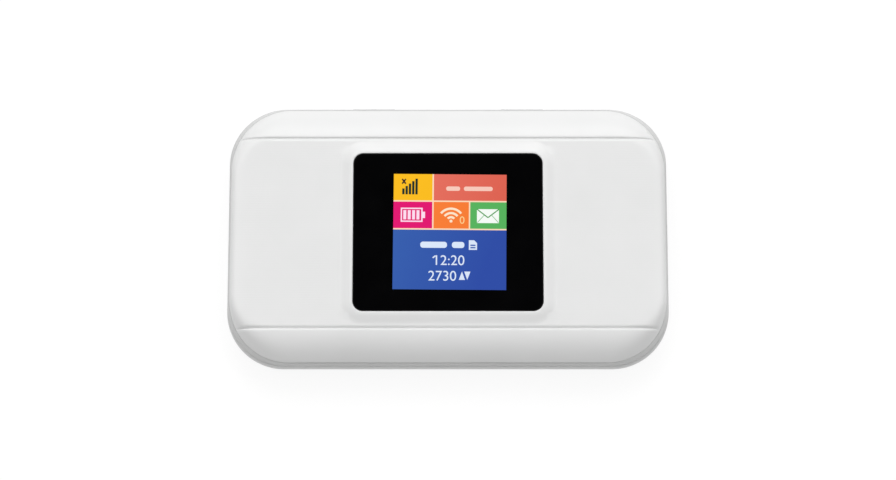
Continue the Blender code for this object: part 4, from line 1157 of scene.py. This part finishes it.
def make_battery():
    """The battery's cell, and a blank label on its top and its bottom."""
    low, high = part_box("battery_cell")
    cell = block("battery_pack_cell", low, high, CELL_EDGE, 5)
    dress(cell, "battery_wrap", "battery_pack", "battery_wrap", "battery_cell")
    middle = (low + high) / 2
    half = [(high[axis] - low[axis]) / 2 - LABEL_MARGIN[axis] for axis in (0, 1)]
    for label, z, side in (("top", high.z, 1), ("bottom", low.z, -1)):
        rings = []
        for inset, rise in LABEL_PROFILE:
            points = ring(half[0] - inset, half[1] - inset, LABEL_RADIUS, z + side * rise, 6)
            rings.append([(middle.x + u, middle.y + v, w) for u, v, w in points])
        sticker = loft(f"battery_label_{label}", rings)
        dress(sticker, "label_film", "battery_pack", "battery_wrap")


# Remaining CAD pieces


def dress_cad_nodes():
    """Give each CAD piece that still shows the material of its slot."""
    slots = {part["node"]: part["material_slot"] for part in frame["record"]["subparts"]}
    for node, obj in frame["nodes"].items():
        if obj.hide_render:
            continue
        obj.data.materials.clear()
        obj.data.materials.append(MATERIALS[slots[node]])


# Stage


def make_floor():
    """A pale floor, mostly lit from within, so that the case leaves only a faint shadow."""
    bm = bmesh.new()
    bmesh.ops.create_grid(bm, x_segments=2, y_segments=2, size=FLOOR_HALF)
    floor = to_object("floor", bm)
    glow = {"Emission_Color": (1.0, 1.0, 1.0, 1.0), "Emission_Strength": FLOOR_GLOW}
    material, tree = new_material("floor_white", Roughness=0.8, Specular_IOR_Level=0.0, **glow)
    paint(tree, drift(tree, 0.3), (0.17, 0.17, 0.17), (0.19, 0.19, 0.19))
    floor.data.materials.append(material)


def stand_off(obj, target, side, elevation, distance):
    """Place a light or the camera to that side of the target along Y, facing it."""
    toward = Vector((0.0, side * math.cos(elevation), math.sin(elevation)))
    obj.location = target + toward * distance
    obj.rotation_euler = (-toward).to_track_quat("-Z", "Y").to_euler()
    bpy.context.scene.collection.objects.link(obj)


def make_light():
    """One weak, soft square light, high behind the object."""
    data = bpy.data.lights.new("key", "AREA")
    data.size = LIGHT_SIZE
    data.energy = LIGHT_POWER
    stand_off(bpy.data.objects.new("key", data), Vector(), 1, LIGHT_ELEVATION, LIGHT_DISTANCE)


def make_world():
    """A soft sky, brightest behind the overhead, with a dark patch there for the window to mirror."""
    world = bpy.data.worlds.new("studio")
    world.use_nodes = True
    tree = world.node_tree
    direction = add(tree, "TexCoord").outputs["Generated"]
    parts = add(tree, "SeparateXYZ", {0: direction})

    def toward(angle):
        """Cosine of the angle from a direction tilted that far from the zenith towards +Y."""
        spot = (0.0, math.sin(math.radians(angle)), math.cos(math.radians(angle)))
        node = add(tree, "VectorMath", {0: direction, 1: spot}, operation="DOT_PRODUCT")
        return node.outputs["Value"]

    glow = maths(tree, "POWER", maths(tree, "MAXIMUM", toward(SKY_PEAK_ANGLE), 0.0), SKY_FALLOFF)
    sky = maths(tree, "MULTIPLY", glow, SKY_PEAK)
    risen = remap(tree, parts.outputs["Z"], 1.0, 0.0, 0.0, 0.35)
    behind = maths(tree, "MULTIPLY", maths(tree, "MAXIMUM", parts.outputs["Y"], 0.0), SKY_BEHIND)
    low_sky = maths(tree, "MULTIPLY", maths(tree, "ADD", behind, SKY_HORIZON), risen)
    sky = maths(tree, "ADD", maths(tree, "MULTIPLY", sky, maths(tree, "SUBTRACT", 1.0, risen)), low_sky)
    patch = remap(tree, toward(PATCH_ANGLE), 1.0, 0.0, *(math.cos(math.radians(a)) for a in PATCH_EDGE))
    background = tree.nodes["Background"]
    background.inputs["Color"].default_value = (1.0, 1.0, 1.0, 1.0)
    tree.links.new(maths(tree, "MULTIPLY", sky, patch), background.inputs["Strength"])
    bpy.context.scene.world = world


def make_camera():
    """From the side with no controls, 79 degrees up, with the window a little above the middle."""
    data = bpy.data.cameras.new("camera")
    data.lens = CAMERA_LENS
    data.sensor_width = 36.0
    data.clip_start = 0.01
    camera = bpy.data.objects.new("camera", data)
    stand_off(camera, CAMERA_TARGET, -1, CAMERA_ELEVATION, CAMERA_DISTANCE)
    bpy.context.scene.camera = camera


make_camera()
make_world()
make_light()
make_floor()
make_front_shell()
make_screw_bosses()
make_mid_frame()
make_back_cover()
make_cover_clips()
make_lens()
make_tiles()
make_signal_symbol()
make_battery_symbol()
make_wireless_symbol()
make_message_symbol()
make_lines()
make_power_symbol(*make_key("power"))
make_key("menu")
make_socket()
make_battery()
dress_cad_nodes()
bpy.context.scene.view_settings.view_transform = "Standard"
